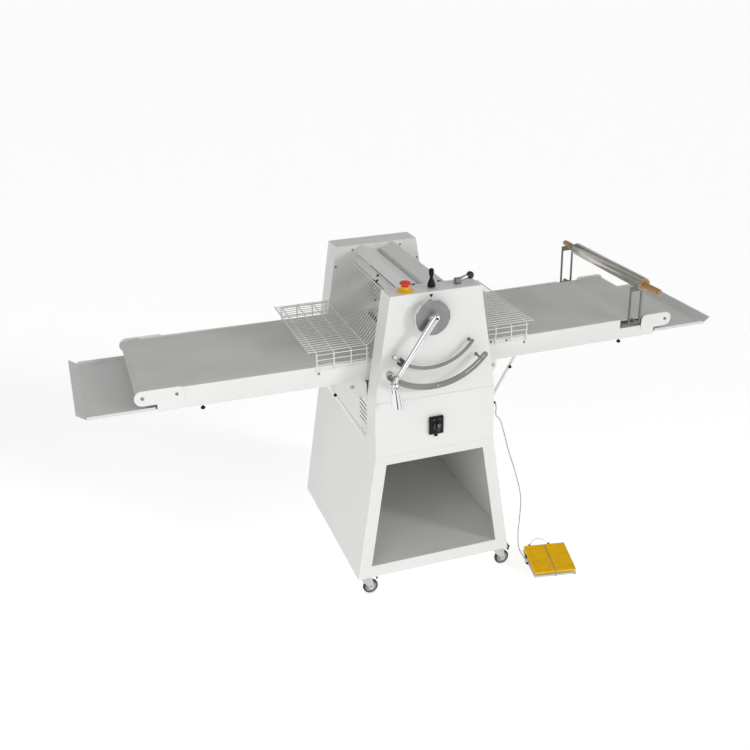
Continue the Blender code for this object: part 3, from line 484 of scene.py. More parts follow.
def rounded_box(low, high, radius, segments=3, turn=None):
    bm = box_mesh(low, high)
    bmesh.ops.bevel(bm, geom=bm.edges[:], offset=radius, segments=segments, affect="EDGES", profile=0.5)
    if turn is not None:
        bmesh.ops.transform(bm, matrix=turn, verts=bm.verts)
    return mesh_of(bm)


def slab(outline, low, high, bevel=0.0, segments=2, holes=()):
    """A flat outline in X and Z, pulled along Y, with softened rims."""
    curve = bpy.data.curves.new("outline", "CURVE")
    curve.dimensions = "2D"
    curve.fill_mode = "BOTH"
    curve.extrude = max((high - low) / 2 - bevel, 0.0)
    curve.bevel_depth = bevel
    curve.bevel_resolution = segments
    curve.offset = -bevel
    for points in (outline, *holes):
        spline = curve.splines.new("POLY")
        spline.points.add(len(points) - 1)
        for point, (across, up) in zip(spline.points, points):
            point.co = (across, up, 0.0, 1.0)
        spline.use_cyclic_u = True
    item = bpy.data.objects.new("outline", curve)
    item.matrix_world = Matrix.Translation((0, (low + high) / 2, 0)) @ Matrix.Rotation(math.pi / 2, 4, "X")
    return baked(item)


def baked(item):
    """The mesh that a curve object makes, welded, in place."""
    linked(item)
    bpy.context.view_layer.update()
    mesh = bpy.data.meshes.new_from_object(item.evaluated_get(bpy.context.evaluated_depsgraph_get()))
    bm = bmesh.new()
    bm.from_mesh(mesh)
    bmesh.ops.remove_doubles(bm, verts=bm.verts, dist=0.00001)
    bmesh.ops.transform(bm, matrix=item.matrix_world, verts=bm.verts)
    bpy.data.objects.remove(item)
    return mesh_of(bm)


def wire_curve(name, paths, radius, resolution):
    """Round wires of one thickness along several paths."""
    curve = bpy.data.curves.new(name, "CURVE")
    curve.dimensions = "3D"
    curve.bevel_depth = radius
    curve.bevel_resolution = resolution
    curve.use_fill_caps = True
    for path in paths:
        spline = curve.splines.new("POLY")
        spline.points.add(len(path) - 1)
        for point, place in zip(spline.points, path):
            point.co = (*place, 1.0)
    return curve


def tubes(paths, radius, resolution=2):
    return baked(bpy.data.objects.new("wires", wire_curve("wires", paths, radius, resolution)))


def joined(meshes):
    """Meshes put into one."""
    bm = bmesh.new()
    for mesh in meshes:
        bm.from_mesh(mesh)
    mesh = bpy.data.meshes.new("piece")
    bm.to_mesh(mesh)
    bm.free()
    return mesh


def rounded_corner(before, corner, after, radius, count=5):
    """Points that take a path round a corner on a small arc."""
    corner = Vector(corner)
    first = corner + (Vector(before) - corner).normalized() * radius
    last = corner + (Vector(after) - corner).normalized() * radius
    made = []
    for index in range(count):
        t = index / (count - 1)
        made.append(first * (1 - t) ** 2 + corner * 2 * t * (1 - t) + last * t * t)
    return made


def bent(points, radius, count=5):
    """A path through the points with its corners rounded."""
    path = [Vector(points[0])]
    for before, corner, after in zip(points, points[1:], points[2:]):
        path += rounded_corner(before, corner, after, radius, count)
    path.append(Vector(points[-1]))
    return path


def arc(centre, radius, start, end, count, y):
    """Points on a circle in a plane of constant y; angles run from straight down towards +X."""
    step = (end - start) / (count - 1)
    angles = [start + step * index for index in range(count)]
    return [Vector((centre[0] + radius * math.sin(a), y, centre[1] - radius * math.cos(a))) for a in angles]


def smooth_route(points, spacing):
    """Points at even steps along a smooth curve through the given ones."""
    fine = []
    last = len(points) - 1
    for index in range(last):
        p0, p1, p2, p3 = (Vector(points[min(max(index + k, 0), last)]) for k in (-1, 0, 1, 2))
        for step in range(40):
            t = step / 40
            fine.append(
                0.5 * ((2 * p1) + (p2 - p0) * t + (2 * p0 - 5 * p1 + 4 * p2 - p3) * t * t)
                + 0.5 * (3 * p1 - p0 - 3 * p2 + p3) * t ** 3
            )
    fine.append(Vector(points[-1]))
    even = [fine[0]]
    for point in fine[1:]:
        if (point - even[-1]).length >= spacing:
            even.append(point)
    return even


def piece(name, mesh, look, body, nodes=(), angle=38):
    """A finished piece that rides on a body and may stand for CAD nodes."""
    mesh.name = name
    mesh.materials.clear()
    mesh.materials.append(look)
    mesh.shade_smooth()
    mesh.set_sharp_from_angle(angle=math.radians(angle))
    made = linked(bpy.data.objects.new(name, mesh))
    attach(made, body)
    if nodes:
        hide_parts(*nodes)
    return made


def turned(name, profile, place, way, look, body, nodes=(), steps=48, angle=38):
    """A piece made on the lathe."""
    return piece(name, lathe(profile, tuple(place), way, steps), look, body, nodes, angle)


def softened(made, width, segments):
    """Rounds the piece's edges over."""
    bevel = made.modifiers.new("soft edges", "BEVEL")
    bevel.width = width
    bevel.segments = segments
    bevel.limit_method = "ANGLE"
    return bevel


def soft_edged(cad_node, look, width=0.0007, segments=2):
    """The CAD node's own shape with its flat faces merged and its edges rounded over."""
    bm = bmesh.new()
    bm.from_mesh(frame["nodes"][cad_node].data)
    bmesh.ops.remove_doubles(bm, verts=bm.verts, dist=0.00002)
    bmesh.ops.dissolve_limit(bm, angle_limit=math.radians(0.6), verts=bm.verts, edges=bm.edges)
    mesh = bpy.data.meshes.new(cad_node)
    bm.to_mesh(mesh)
    bm.free()
    bevel = softened(piece(f"{cad_node}_finished", mesh, look, BODY_OF[cad_node], [cad_node]), width, segments)
    bevel.angle_limit = math.radians(32)
    bevel.harden_normals = True
    bevel.use_clamp_overlap = True


def repaint(cad_node, look):
    """A CAD node that stays as it is takes a finished material."""
    mesh = frame["nodes"][cad_node].data
    mesh.materials.clear()
    mesh.materials.append(look)


def screw_head(place, normal, radius):
    """A button-head screw with a socket."""
    shape = ((0.0, 0.20), (0.36, 0.20), (0.42, 0.56), (0.72, 0.50), (0.94, 0.26), (1.0, 0.0), (0.0, -0.05))
    return lathe([(radius * out, radius * up) for out, up in shape], place, normal, 20)


# ---------------------------------------------------------------- base cabinet
STRUT_KNOB = [(0.0, 0.006), (0.0045, 0.006), (0.0060, 0.0045), (0.0060, 0.0010)]
STRUT_KNOB += [(0.0040, 0.0), (0.0040, -0.004), (0.0, -0.004)]
STRUT_KNOB_X = 0.3440
STRUT_KNOB_Y = 0.2525
STRUT_KNOB_Z = 0.8250
WASHER = [(0.0, 0.0012), (0.0085, 0.0012), (0.0085, 0.0), (0.0, 0.0)]
SIDE_SCREW = (0.2319, -0.208, 0.650)
EAR_SCREW_IN = 0.0150
EAR_SCREW_Z = 0.8399
EAR_HALF = 0.245


def build_base():
    soft_edged("cabinet_body", WHITE, 0.0009)
    soft_edged("front_panel", WHITE, 0.0007)
    soft_edged("switch_panel", WHITE, 0.0007)
    soft_edged("floor_pan", WHITE, 0.0008)
    repaint("gear_motor", MOTOR_BLUE)
    heads = []
    knobs = []
    x, y, z = SIDE_SCREW
    for side, sign in SIDES:
        soft_edged(f"table_support_{side}", WHITE, 0.0006)
        heads.append(screw_head(at(sign * x, y, z), (sign, 0, 0), 0.0042))
    for side, sign in SIDES:
        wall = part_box(f"table_support_{side}")
        ear_x = (wall[0].x if sign < 0 else wall[1].x) - sign * EAR_SCREW_IN
        for way in (-1, 1):
            face = MID_Y + way * EAR_HALF
            normal = (0, way, 0)
            heads.append(lathe(WASHER, (ear_x, face, EAR_SCREW_Z), normal, 24))
            heads.append(screw_head((ear_x, face + way * 0.0010, EAR_SCREW_Z), normal, 0.0062))
            knob_place = at(sign * STRUT_KNOB_X, way * STRUT_KNOB_Y, STRUT_KNOB_Z)
            knobs.append(lathe(STRUT_KNOB, knob_place, normal, 24))
    piece("cabinet_screws", joined(heads), ZINC, "frame")
    piece("strut_knobs", joined(knobs), BLACK, "frame")


# ---------------------------------------------------------------- head
# Places in X and Z on the rear housing's inner face, each on both sides of the middle.
HOUSING_SCREWS = ((0.10, 1.187), (0.172, 1.126))
BRACKET_SLOPE = (0.69, 0.72)
BRACKET_STUDS = ((0.0850, 0.012, 1.1578), (0.0960, -0.014, 1.1472))
# Painted shade: a thin black rod along the dark slot at the head cover's edge stands for the shade in that gap.
SLOT_SHADE_ROD = (0.0868, 1.1764)
SLOT_SHADE_ROD_ENDS = (-0.186, 0.088)
TROUGH_CLIP_X = (-0.050, 0.052)
TROUGH_CLIP_Z = 1.2025
TROUGH_CLIP_TURN = 0.35


def build_head():
    for name in ("console_housing", "console_cover", "rear_housing"):
        soft_edged(name, WHITE, 0.0011, 3)
    soft_edged("head_cover", WHITE, 0.0005)
    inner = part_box("rear_housing")[0].y
    heads = [
        screw_head((sign * x, inner, z), (0, -1, 0), 0.0045) for x, z in HOUSING_SCREWS for sign in (-1, 1)
    ]
    piece("housing_screws", joined(heads), DARK_STEEL, "frame")
    studs = []
    for side, sign in SIDES:
        soft_edged(f"hinge_bracket_{side}", BRACKET_GREY, 0.0004)
        slope = Vector((sign * BRACKET_SLOPE[0], 0.0, BRACKET_SLOPE[1]))
        for x, y, z in BRACKET_STUDS:
            studs.append(screw_head(at(sign * x, y, z), slope, 0.0055))
        # Painted shade: the black rod drawn along the slot at the cover's edge.
        rod = [at(sign * SLOT_SHADE_ROD[0], y, SLOT_SHADE_ROD[1]) for y in SLOT_SHADE_ROD_ENDS]
        studs.append(tubes([rod], 0.0016, 2))
    piece("bracket_screws_and_slot_shade", joined(studs), BLACK, "frame")
    clips = []
    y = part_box("head_cover")[0].y + 0.002
    for x in TROUGH_CLIP_X:
        lean = Matrix.Rotation(math.copysign(TROUGH_CLIP_TURN, x), 4, "Y")
        turn = Matrix.Translation((x, y, TROUGH_CLIP_Z)) @ lean
        clips.append(rounded_box((-0.008, 0.0, -0.003), (0.008, 0.010, 0.003), 0.0012, 2, turn))
    piece("trough_clips", joined(clips), BLACK, "frame")


# ---------------------------------------------------------------- rollers
JOURNAL_R = 0.0125
JOURNAL_LONG = 0.045


def build_rollers():
    for name in ("upper_roller", "lower_roller"):
        low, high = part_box(name)
        radius = (high.z - low.z) / 2
        end = (high.y - low.y) / 2
        face = end - JOURNAL_LONG
        half = [(0.0, end), (JOURNAL_R - 0.0015, end), (JOURNAL_R, end - 0.0015), (JOURNAL_R, face)]
        half += [(radius - 0.002, face), (radius, face - 0.002)]
        mesh = lathe(mirrored(half), (low + high) / 2, (0, 1, 0), 72)
        piece(f"{name}_turned", mesh, ROLLER_CHROME, BODY_OF[name], [name])
    soft_edged("roller_carriage", DARK_STEEL, 0.0006)


# ---------------------------------------------------------------- tables
BELT_RADIUS = 0.0202
BELT_THICK = 0.0018
BELT_STEPS = 60
BELT_END_STEPS = 16
BELT_COLUMNS = 12
BELT_TAPER = 0.004
YOKE_SCREW = {"left": 0.1145, "right": 0.0855}
RAIL_SCREWS = {"left": ((0.325, -0.0035),), "right": ((0.188, 0.0175), (0.251, 0.0155), (0.325, -0.0035))}
RAIL_KNOB = [(0.0, 0.0), (0.003, 0.0), (0.003, -0.006), (0.0072, -0.0068), (0.008, -0.0085)]
RAIL_KNOB += [(0.008, -0.0122), (0.0066, -0.0142), (0.0, -0.0145)]


def table_axes(side):
    """The drive roller's place, the ways along and square to the tilted table, and the rollers' distance."""
    drive = joint_at(f"drive_roller_{side}_spin")
    end = joint_at(f"end_roller_{side}_spin")
    along = (end - drive).normalized()
    up = Vector((-along.z, 0.0, along.x)) if along.x > 0 else Vector((along.z, 0.0, -along.x))
    return drive, along, up, (end - drive).length


def table_matrix(side):
    """Takes (distance out from the drive roller, y, height over its axis) to a point of the tilted table."""
    drive, along, up, _ = table_axes(side)
    turn = Matrix((along, Vector((0, 1, 0)), up)).transposed().to_4x4()
    return Matrix.Translation((drive.x, MID_Y, drive.z)) @ turn


def placed(mesh, matrix):
    mesh.transform(matrix)
    if matrix.determinant() < 0:
        mesh.flip_normals()
    return mesh


def belt_loop(length, middle):
    """The belt's way round its rollers: (out, up) of each step and the outward normal there."""
    shares = [index / BELT_STEPS for index in range(BELT_STEPS + 1)]
    turns = [math.pi * index / BELT_END_STEPS for index in range(1, BELT_END_STEPS)]
    loop = [(length * share, middle, 0.0, 1.0) for share in shares]
    for start, stretch, angles in ((length, shares, turns), (0.0, (), [math.pi + turn for turn in turns])):
        for angle in angles:
            across, up = math.sin(angle), math.cos(angle)
            loop.append((start + middle * across, middle * up, across, up))
        loop += [(length * (1 - share), -middle, 0.0, -1.0) for share in stretch]
    return loop


def belt_section(half):
    """The belt's outline across its width: (y, lift from the middle of its thickness)."""
    rim = BELT_THICK / 2
    inner = half - rim
    edge = half - rim * 0.3
    steps = [2 * inner * index / BELT_COLUMNS for index in range(BELT_COLUMNS + 1)]
    section = [(step - inner, rim) for step in steps]
    section += [(edge, rim * 0.7), (half, 0.0), (edge, -rim * 0.7)]
    section += [(inner - step, -rim) for step in steps]
    return section + [(-edge, -rim * 0.7), (-half, 0.0), (-edge, rim * 0.7)]


def build_belt(side):
    """An endless woven belt with rounded edges and a slight wave along its run."""
    length = table_axes(side)[3]
    low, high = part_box(f"belt_{side}")
    half = (high.y - low.y) / 2
    middle = BELT_RADIUS - BELT_THICK / 2
    section = belt_section(half)
    bm = bmesh.new()
    rows = []
    for index, (out, up, normal_x, normal_z) in enumerate(belt_loop(length, middle)):
        wave = 0.0004 * math.sin(index * 0.9) + 0.0003 * math.sin(index * 0.37)
        row = [
            (out + normal_x * lift, y * (1 - BELT_TAPER) + wave * y / half, up + normal_z * lift)
            for y, lift in section
        ]
        rows.append([bm.verts.new(point) for point in row])
    for first, second in zip(rows, rows[1:] + rows[:1]):
        for k in range(len(section)):
            j = (k + 1) % len(section)
            bm.faces.new((first[k], first[j], second[j], second[k]))
    mesh = placed(mesh_of(bm), table_matrix(side))
    belt = piece(f"belt_{side}_woven", mesh, BELT, "frame", [f"belt_{side}"], angle=60)


def table_screws(side, sign):
    """Roller screws and tension screws in the end yokes, and screws in the rails, on both long sides."""
    matrix = table_matrix(side)
    length = table_axes(side)[3]
    heads = []
    for corner, way in zip(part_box(f"end_yoke_{side}"), (-1, 1)):
        spots = [(length, 0.0062), (length - YOKE_SCREW[side], 0.0058)]
        if sign > 0 and way < 0:
            spots.pop()
        for out, radius in spots:
            heads.append(placed(screw_head((out, corner.y - MID_Y, 0.0005), (0, way, 0), radius), matrix))
    for corner, way in zip(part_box(f"table_frame_{side}"), (-1, 1)):
        for out, lift in RAIL_SCREWS[side]:
            heads.append(placed(screw_head((out, corner.y - MID_Y, lift), (0, way, 0), 0.0048), matrix))
    return heads


def build_table(side, sign):
    soft_edged(f"table_frame_{side}", WHITE, 0.0008)
    soft_edged(f"end_yoke_{side}", WHITE, 0.0008)
    soft_edged(f"catch_tray_{side}", TRAY_GREY, 0.0004)
    build_belt(side)
    repaint(f"drive_roller_{side}", RUBBER)
    repaint(f"end_roller_{side}", ZINC)
    heads = table_screws(side, sign)
    piece(f"table_screws_{side}", joined(heads), DARK_STEEL, "frame")
    knob = f"rail_knob_{side}"
    place = joint_at(f"{knob}_turn")
    mesh = ribbed(lathe(RAIL_KNOB, place, (0, 0, 1), 40), place, (0, 0, 1), 0.07, wider=0.007)
    piece(f"{knob}_ribbed", mesh, BLACK, knob, [knob], angle=20)


# ---------------------------------------------------------------- rolling pin
FORK_BOLT = [(0.0, 0.0048), (0.0052, 0.0048), (0.0072, 0.0034), (0.0078, 0.0), (0.0, 0.0)]
FORK_BOLT_IN = 0.0055
FORK_BOLT_UP = 0.0105
PIN_WALL = 0.0030
PIN_BORE_R = 0.0072


def build_forks():
    bolts = []
    for name, way in (("pin_fork_front", -1), ("pin_fork_back", 1)):
        soft_edged(name, FORK_STEEL, 0.0005)
        low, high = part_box(name)
        edge = low.y if way < 0 else high.y
        place = ((low.x + high.x) / 2, edge - way * FORK_BOLT_IN, low.z + FORK_BOLT_UP)
        bolts.append(lathe(FORK_BOLT, place, (0, way, 0), 32))
    piece("fork_bolts", joined(bolts), NICKEL, "frame")


def build_rolling_pin():
    """A steel tube between wooden plugs, turning on wooden handles."""
    build_forks()
    low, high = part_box("pin_tube")
    grip_low, grip_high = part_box("pin_handles")
    radius = (high.z - low.z) / 2
    axis = joint_at("rolling_pin_spin")
    start, end = low.y, high.y
    centre = (axis.x, 0, axis.z)
    bore = radius - PIN_WALL
    tube = [(bore, end), (radius - 0.0006, end), (radius, end - 0.0008), (radius, start + 0.0008)]
    tube += [(radius - 0.0006, start), (bore, start), (bore, start + 0.004)]
    turned("pin_tube_rolled", tube, centre, (0, 1, 0), BRUSHED, "pin_roller", ["pin_tube"], steps=72)
    plug_r = bore - 0.0001
    plug = [(PIN_BORE_R, 0.0012), (plug_r - 0.0008, 0.0012), (plug_r, 0.0)]
    plug += [(plug_r, -0.012), (PIN_BORE_R, -0.012)]
    plugs = []
    handles = []
    for edge, tip, way in ((start, grip_low.y, -1), (end, grip_high.y, 1)):
        plugs.append(lathe(plug, (axis.x, edge, axis.z), (0, way, 0), 48))
        length = abs(tip - edge) - 0.002
        grip = [(0.0, 0.0), (0.0096, 0.0), (0.0104, 0.001), (0.0100, 0.012), (0.0103, 0.030), (0.0113, 0.062)]
        grip += [(0.0115, length - 0.016), (0.0108, length - 0.005), (0.0085, length - 0.001), (0.0, length)]
        handles.append(lathe(grip, (axis.x, edge + way * 0.002, axis.z), (0, way, 0), 40))
    piece("pin_end_plugs", joined(plugs), WOOD, "pin_roller")
    piece("pin_handles_turned", joined(handles), WOOD, "pin_spindle", ["pin_handles"], angle=50)
    rod = [(0.0, end + 0.004), (0.006, end + 0.004), (0.006, start - 0.004), (0.0, start - 0.004)]
    turned("pin_spindle_rod", rod, centre, (0, 1, 0), ZINC, "pin_spindle", steps=20)


# ---------------------------------------------------------------- wire guards
FINE_WIRES = 25
FINE_PITCH = 0.0206
FINE_R = 0.0016
HEAVY_R = 0.0024
GUARD_KNEE = (0.213, 0.9985)
GUARD_BEND_X = 0.416
GUARD_LEGS = (0.406, 0.3435, 0.2804, 0.2219)
SKIRT_WIRES = 4
SKIRT_PITCH = 0.0195
SKIRT_ENDS = (0.2140, 0.4110)


def build_guard(side, sign):
    """Fine wires from the hinge over the knee and out, heavy legs under them, and a skirt of fine wires."""
    low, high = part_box(f"guard_{side}")
    hinge = joint_at(f"guard_{side}_lift")
    end = abs(low.x if sign < 0 else high.x) - HEAVY_R
    knee, flat = GUARD_KNEE
    half = (FINE_WIRES - 1) / 2
    fine = []
    for index in range(FINE_WIRES):
        y = MID_Y + FINE_PITCH * (index - half)
        corners = [(hinge.x, y, hinge.z), (sign * knee, y, flat)]
        corners += [(sign * GUARD_BEND_X, y, flat - 0.0005), (sign * end, y, flat + 0.001)]
        fine.append(bent(corners, 0.008))
    heavy = []
    under = flat - FINE_R - HEAVY_R + 0.0006
    reach = (high.y - low.y) / 2 - 2 * FINE_R - 2 * HEAVY_R + 0.0015
    foot = low.z + HEAVY_R * 0.4
    for x in GUARD_LEGS:
        spots = ((-reach, foot), (-reach, under), (reach, under), (reach, foot))
        heavy.append(bent([at(sign * x, y, z) for y, z in spots], 0.006))
    out = reach + HEAVY_R + FINE_R - 0.0005
    for index in range(SKIRT_WIRES):
        z = foot + 0.006 + index * SKIRT_PITCH
        for way in (-1, 1):
            fine.append([at(sign * x, way * out, z) for x in SKIRT_ENDS])
    edge = half * FINE_PITCH + 0.005
    for x, z in ((sign * end, flat), (hinge.x, hinge.z)):
        heavy.append([at(x, -edge, z), at(x, edge, z)])
    mesh = joined([tubes(fine, FINE_R, 2), tubes(heavy, HEAVY_R, 3)])
    piece(f"guard_{side}_wires", mesh, WHITE_WIRE, f"guard_{side}", [f"guard_{side}"], angle=70)


# ---------------------------------------------------------------- gap lever, arcs and stop
FORWARD = (0, -1, 0)
NECK_R = 0.046
ROD_R = 0.0148
ROD_ROOT = (0.0035, 0.0060)
ROD_TIP_R = 0.007
# The tip's centre, in tip radii from the low corner of the lever's box.
ROD_TIP_INSET = Vector((0.78, 1.0, 0.63))
LEVER_HUB = [(0.0, 0.0), (0.0186, 0.0), (0.0190, 0.0010), (0.0190, 0.0120), (0.0182, 0.0160)]
LEVER_HUB += [(0.0160, 0.0198), (0.0120, 0.0232), (0.0060, 0.0254), (0.0034, 0.0258), (0.0030, 0.0240)]
LEVER_HUB += [(0.0, 0.0240)]
# Painted reflection: the small black disc set on the front of the rod's round end.
LEVER_DARK_SPOT = [(0.0, 0.0004), (0.0040, 0.0004), (0.0044, 0.0), (0.0, -0.0020)]
GRIP = [(0.0, 0.000), (0.0090, 0.000), (0.0130, 0.0020), (0.0152, 0.0050), (0.0156, 0.0090), (0.0150, 0.0100)]
GRIP += [(0.0158, 0.0112), (0.0176, 0.040), (0.0195, 0.070), (0.0206, 0.086), (0.0212, 0.095)]
GRIP += [(0.0212, 0.0985), (0.0198, 0.1005), (0.0170, 0.1005), (0.0160, 0.0970), (0.0150, 0.080), (0.0, 0.078)]
ELBOW_R = 0.0088

INNER_ARC_R = 0.1890
OUTER_ARC_R = 0.2515
BAND_HALF = 0.002
# Each arc: radius, width, its ends' angles, its posts' angles in from them, and how far its screws are sunk.
ARCS = {
    "inner_arc": (INNER_ARC_R, 0.012, (-0.80, 0.98), (0.22, 0.055), 0.0012),
    "outer_arc": (OUTER_ARC_R, 0.022, (-0.75, 0.92), (0.22, 0.12), 0.0),
}
ARC_STEPS = 72
CAP_STEPS = 12
SLIT_ANGLES = (0.50, 0.86)
SLIT_HALF = 0.0022
ARC_MARK_ANGLE = 0.06
STOP_KNOB_ANGLE = -0.710
STOP_KNOB_IN = 0.006
STOP_KNOB = [(0.0, 0.0), (0.0095, 0.0), (0.0112, 0.0012), (0.0122, 0.0035), (0.0125, 0.0060)]
STOP_KNOB += [(0.0125, 0.0160), (0.0122, 0.0180), (0.0100, 0.0195), (0.0, 0.0195)]
CLAMP_ANGLE = -0.653
CLAMP_HALF = 0.0092
CLAMP_KNOB = [(0.0, 0.0), (0.0036, 0.0), (0.0036, 0.015), (0.0062, 0.016), (0.0083, 0.0185), (0.0086, 0.031)]
CLAMP_KNOB += [(0.0072, 0.0355), (0.0040, 0.0378), (0.0, 0.0385)]
POINTER_X = 0.0068
POINTER_HALF = 0.0072
POINTER_Z = (1.1970, 1.1845)


def build_dial(centre):
    """The chrome rim on its neck and the dull disc set in it; returns how far the dial stands out."""
    low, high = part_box("gap_dial")
    radius = (high.x - low.x) / 2
    deep = centre.y - low.y
    back = deep - 0.009
    rim = [(0.0, 0.0), (NECK_R, 0.0), (NECK_R, back), (radius - 0.002, back), (radius, back + 0.002)]
    rim += [(radius, deep - 0.0030), (radius - 0.0007, deep - 0.0010), (radius - 0.0018, deep - 0.0002)]
    rim += [(radius - 0.0026, deep - 0.0006), (radius - 0.0028, deep - 0.0016), (0.010, deep - 0.0016)]
    turned("dial_rim", rim, centre, FORWARD, CHROME, "gap_lever", ["gap_dial"], steps=96)
    disc = [(radius - 0.0029, deep - 0.0018), (radius - 0.0031, deep - 0.0008), (0.0, deep - 0.0006)]
    turned("dial_face_disc", disc, centre, FORWARD, DIAL_FACE, "gap_lever", steps=96)
    return deep


def build_rod(hub, tip):
    """The tapering rod, round at its thick end, with a black spot painted on its front for a dark reflection, and
    the domed hub behind it.
    """
    root = Vector((hub.x + ROD_ROOT[0], hub.y - ROD_R - 0.0006, hub.z + ROD_ROOT[1]))
    length = (tip - root).length
    angles = [math.pi * i / 24 for i in range(1, 12)]
    rod = [(0.0, -ROD_R), *((ROD_R * math.sin(angle), -ROD_R * math.cos(angle)) for angle in angles)]
    rod += [(ROD_R + (ROD_TIP_R - ROD_R) * i / 8, length * i / 8) for i in range(9)]
    rod.append((0.0, length + ROD_TIP_R * 0.5))
    turned("lever_rod", rod, root, tip - root, CHROME, "gap_lever", ["gap_lever"], steps=96, angle=80)
    # Painted reflection: a black disc where the chrome end shows a dark reflected spot.
    spot = root + Vector(FORWARD) * ROD_R
    turned("lever_dark_reflection_spot", LEVER_DARK_SPOT, spot, FORWARD, BLACK, "gap_lever", steps=32)
    turned("lever_hub", LEVER_HUB, hub, FORWARD, CHROME, "gap_lever", steps=64)


def build_grip(tip):
    """The handle that hangs from the rod's tip, and the round elbow between them."""
    low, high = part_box("lever_handle")
    top = tip + Vector((-0.004, 0.0, -0.003))
    foot = Vector(((low.x + high.x) / 2 + 0.0048, tip.y, low.z))
    way = (foot - top).normalized()
    turned("lever_grip", GRIP, top, way, CHROME, "gap_lever", ["lever_handle"], steps=64, angle=45)
    elbow = ball(ELBOW_R, 12)
    turned("lever_elbow", elbow, tip, (0, 0, 1), CHROME, "gap_lever", steps=40, angle=80)


def flat_arc(hub, radius, start, end, count):
    """An arc's points in X and Z."""
    return [(point.x, point.z) for point in arc(hub, radius, start, end, count, 0)]


def band_outline(hub, radius, width, first, last):
    """A curved band with round ends, in X and Z; its angles run from straight down towards +X."""
    cap = width / 2 / radius
    outline = flat_arc(hub, radius + width / 2, first + cap, last - cap, ARC_STEPS)
    for end, way in ((last - cap, 1), (first + cap, -1)):
        middle = arc(hub, radius, end, end, 2, 0)[0]
        tangent = Vector((math.cos(end), math.sin(end))) * way
        outward = Vector((math.sin(end), -math.cos(end))) * way
        for index in range(1, CAP_STEPS):
            angle = math.pi * index / CAP_STEPS
            side = (outward * math.cos(angle) + tangent * math.sin(angle)) * width / 2
            outline.append((middle.x + side.x, middle.z + side.y))
        if way == 1:
            outline += flat_arc(hub, radius - width / 2, last - cap, first + cap, ARC_STEPS)
    return outline


def build_arcs(centre):
    hub = (centre.x, centre.z)
    for name, (radius, width, (first, last), (first_in, last_in), sunk) in ARCS.items():
        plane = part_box(name)[0].y + BAND_HALF
        holes = []
        if name == "outer_arc":
            start, end = SLIT_ANGLES
            slit = flat_arc(hub, radius + SLIT_HALF, start, end, 24)
            holes.append(slit + flat_arc(hub, radius - SLIT_HALF, end, start, 24))
        outline = band_outline(hub, radius, width, first, last)
        parts = [slab(outline, plane - BAND_HALF, plane + BAND_HALF, 0.0006, 2, holes)]
        gap = centre.y - plane
        post = [(0.0, 0.0), (0.0065, 0.0), (0.0065, 0.0015), (0.004, 0.002), (0.004, gap), (0.0, gap)]
        for angle in (first + first_in, last - last_in):
            spot = arc(hub, radius, angle, angle, 2, 0)[0]
            parts.append(lathe(post, (spot.x, centre.y, spot.z), FORWARD, 24))
            parts.append(screw_head((spot.x, plane - BAND_HALF + sunk, spot.z), FORWARD, 0.0036))
        piece(f"{name}_band", joined(parts), ARC_STEEL, "frame", [name])
    spot = arc(hub, OUTER_ARC_R, ARC_MARK_ANGLE, ARC_MARK_ANGLE, 2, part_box("outer_arc")[0].y)[0]
    piece("outer_arc_mark", screw_head(spot, FORWARD, 0.0040), ZINC, "frame")


def build_stop_knob(centre):
    """The knurled nickel stop at the left end of the outer arc."""
    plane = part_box("outer_arc")[0].y
    radius = OUTER_ARC_R - STOP_KNOB_IN
    spot = arc((centre.x, centre.z), radius, STOP_KNOB_ANGLE, STOP_KNOB_ANGLE, 2, plane)[0]
    mesh = ribbed(lathe(STOP_KNOB, spot, (0, 1, 0), 60), spot, (0, 1, 0), 0.06, wider=0.0118)
    piece("outer_arc_stop", mesh, NICKEL, "frame", angle=20)


def build_stop(centre):
    """The black clamp that slides along the inner arc, with its tightening knob."""
    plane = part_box("inner_arc")[0].y + BAND_HALF
    spot = arc((centre.x, centre.z), INNER_ARC_R, CLAMP_ANGLE, CLAMP_ANGLE, 2, plane)[0]
    turn = Matrix.Translation(spot) @ Matrix.Rotation(-CLAMP_ANGLE, 4, "Y")
    half = CLAMP_HALF
    jaws = [
        rounded_box((-half, -0.0150, -0.0132), (half, -0.0026, 0.0132), 0.0022, 4, turn),
        rounded_box((-half, -0.0040, 0.0069), (half, 0.0054, 0.0132), 0.0015, 3, turn),
        rounded_box((-half, -0.0040, -0.0132), (half, 0.0054, -0.0069), 0.0015, 3, turn),
    ]
    piece("stop_clamp_block", joined(jaws), BLACK_GLOSS, "stop_clamp", ["stop_clamp"])
    place = turn @ Vector((-0.0088, -0.0115, 0.0005))
    way = (turn.to_3x3() @ Vector((-1.0, 0.0, 0.10))).normalized()
    mesh = ribbed(lathe(CLAMP_KNOB, place, way, 40), place, way, 0.07, span=(0.018, 0.033))
    piece("stop_clamp_knob", mesh, ZINC, "stop_clamp", angle=25)


def build_pointer(centre):
    """The black triangle over the dial."""
    middle = centre.x + POINTER_X
    top, point = POINTER_Z
    outline = [(middle - POINTER_HALF, top), (middle + POINTER_HALF, top), (middle, point)]
    piece("pointer_mark", slab(outline, FRONT - 0.0006, FRONT - 0.0001), BLACK, "frame")


def build_lever():
    centre = joint_at("gap_lever_swing")
    deep = build_dial(centre)
    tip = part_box("gap_lever")[0] + ROD_TIP_INSET * ROD_TIP_R
    build_rod(Vector((centre.x, centre.y - deep - 0.0003, centre.z)), tip)
    build_grip(tip)
    build_arcs(centre)
    build_stop(centre)
    build_stop_knob(centre)
    build_pointer(centre)


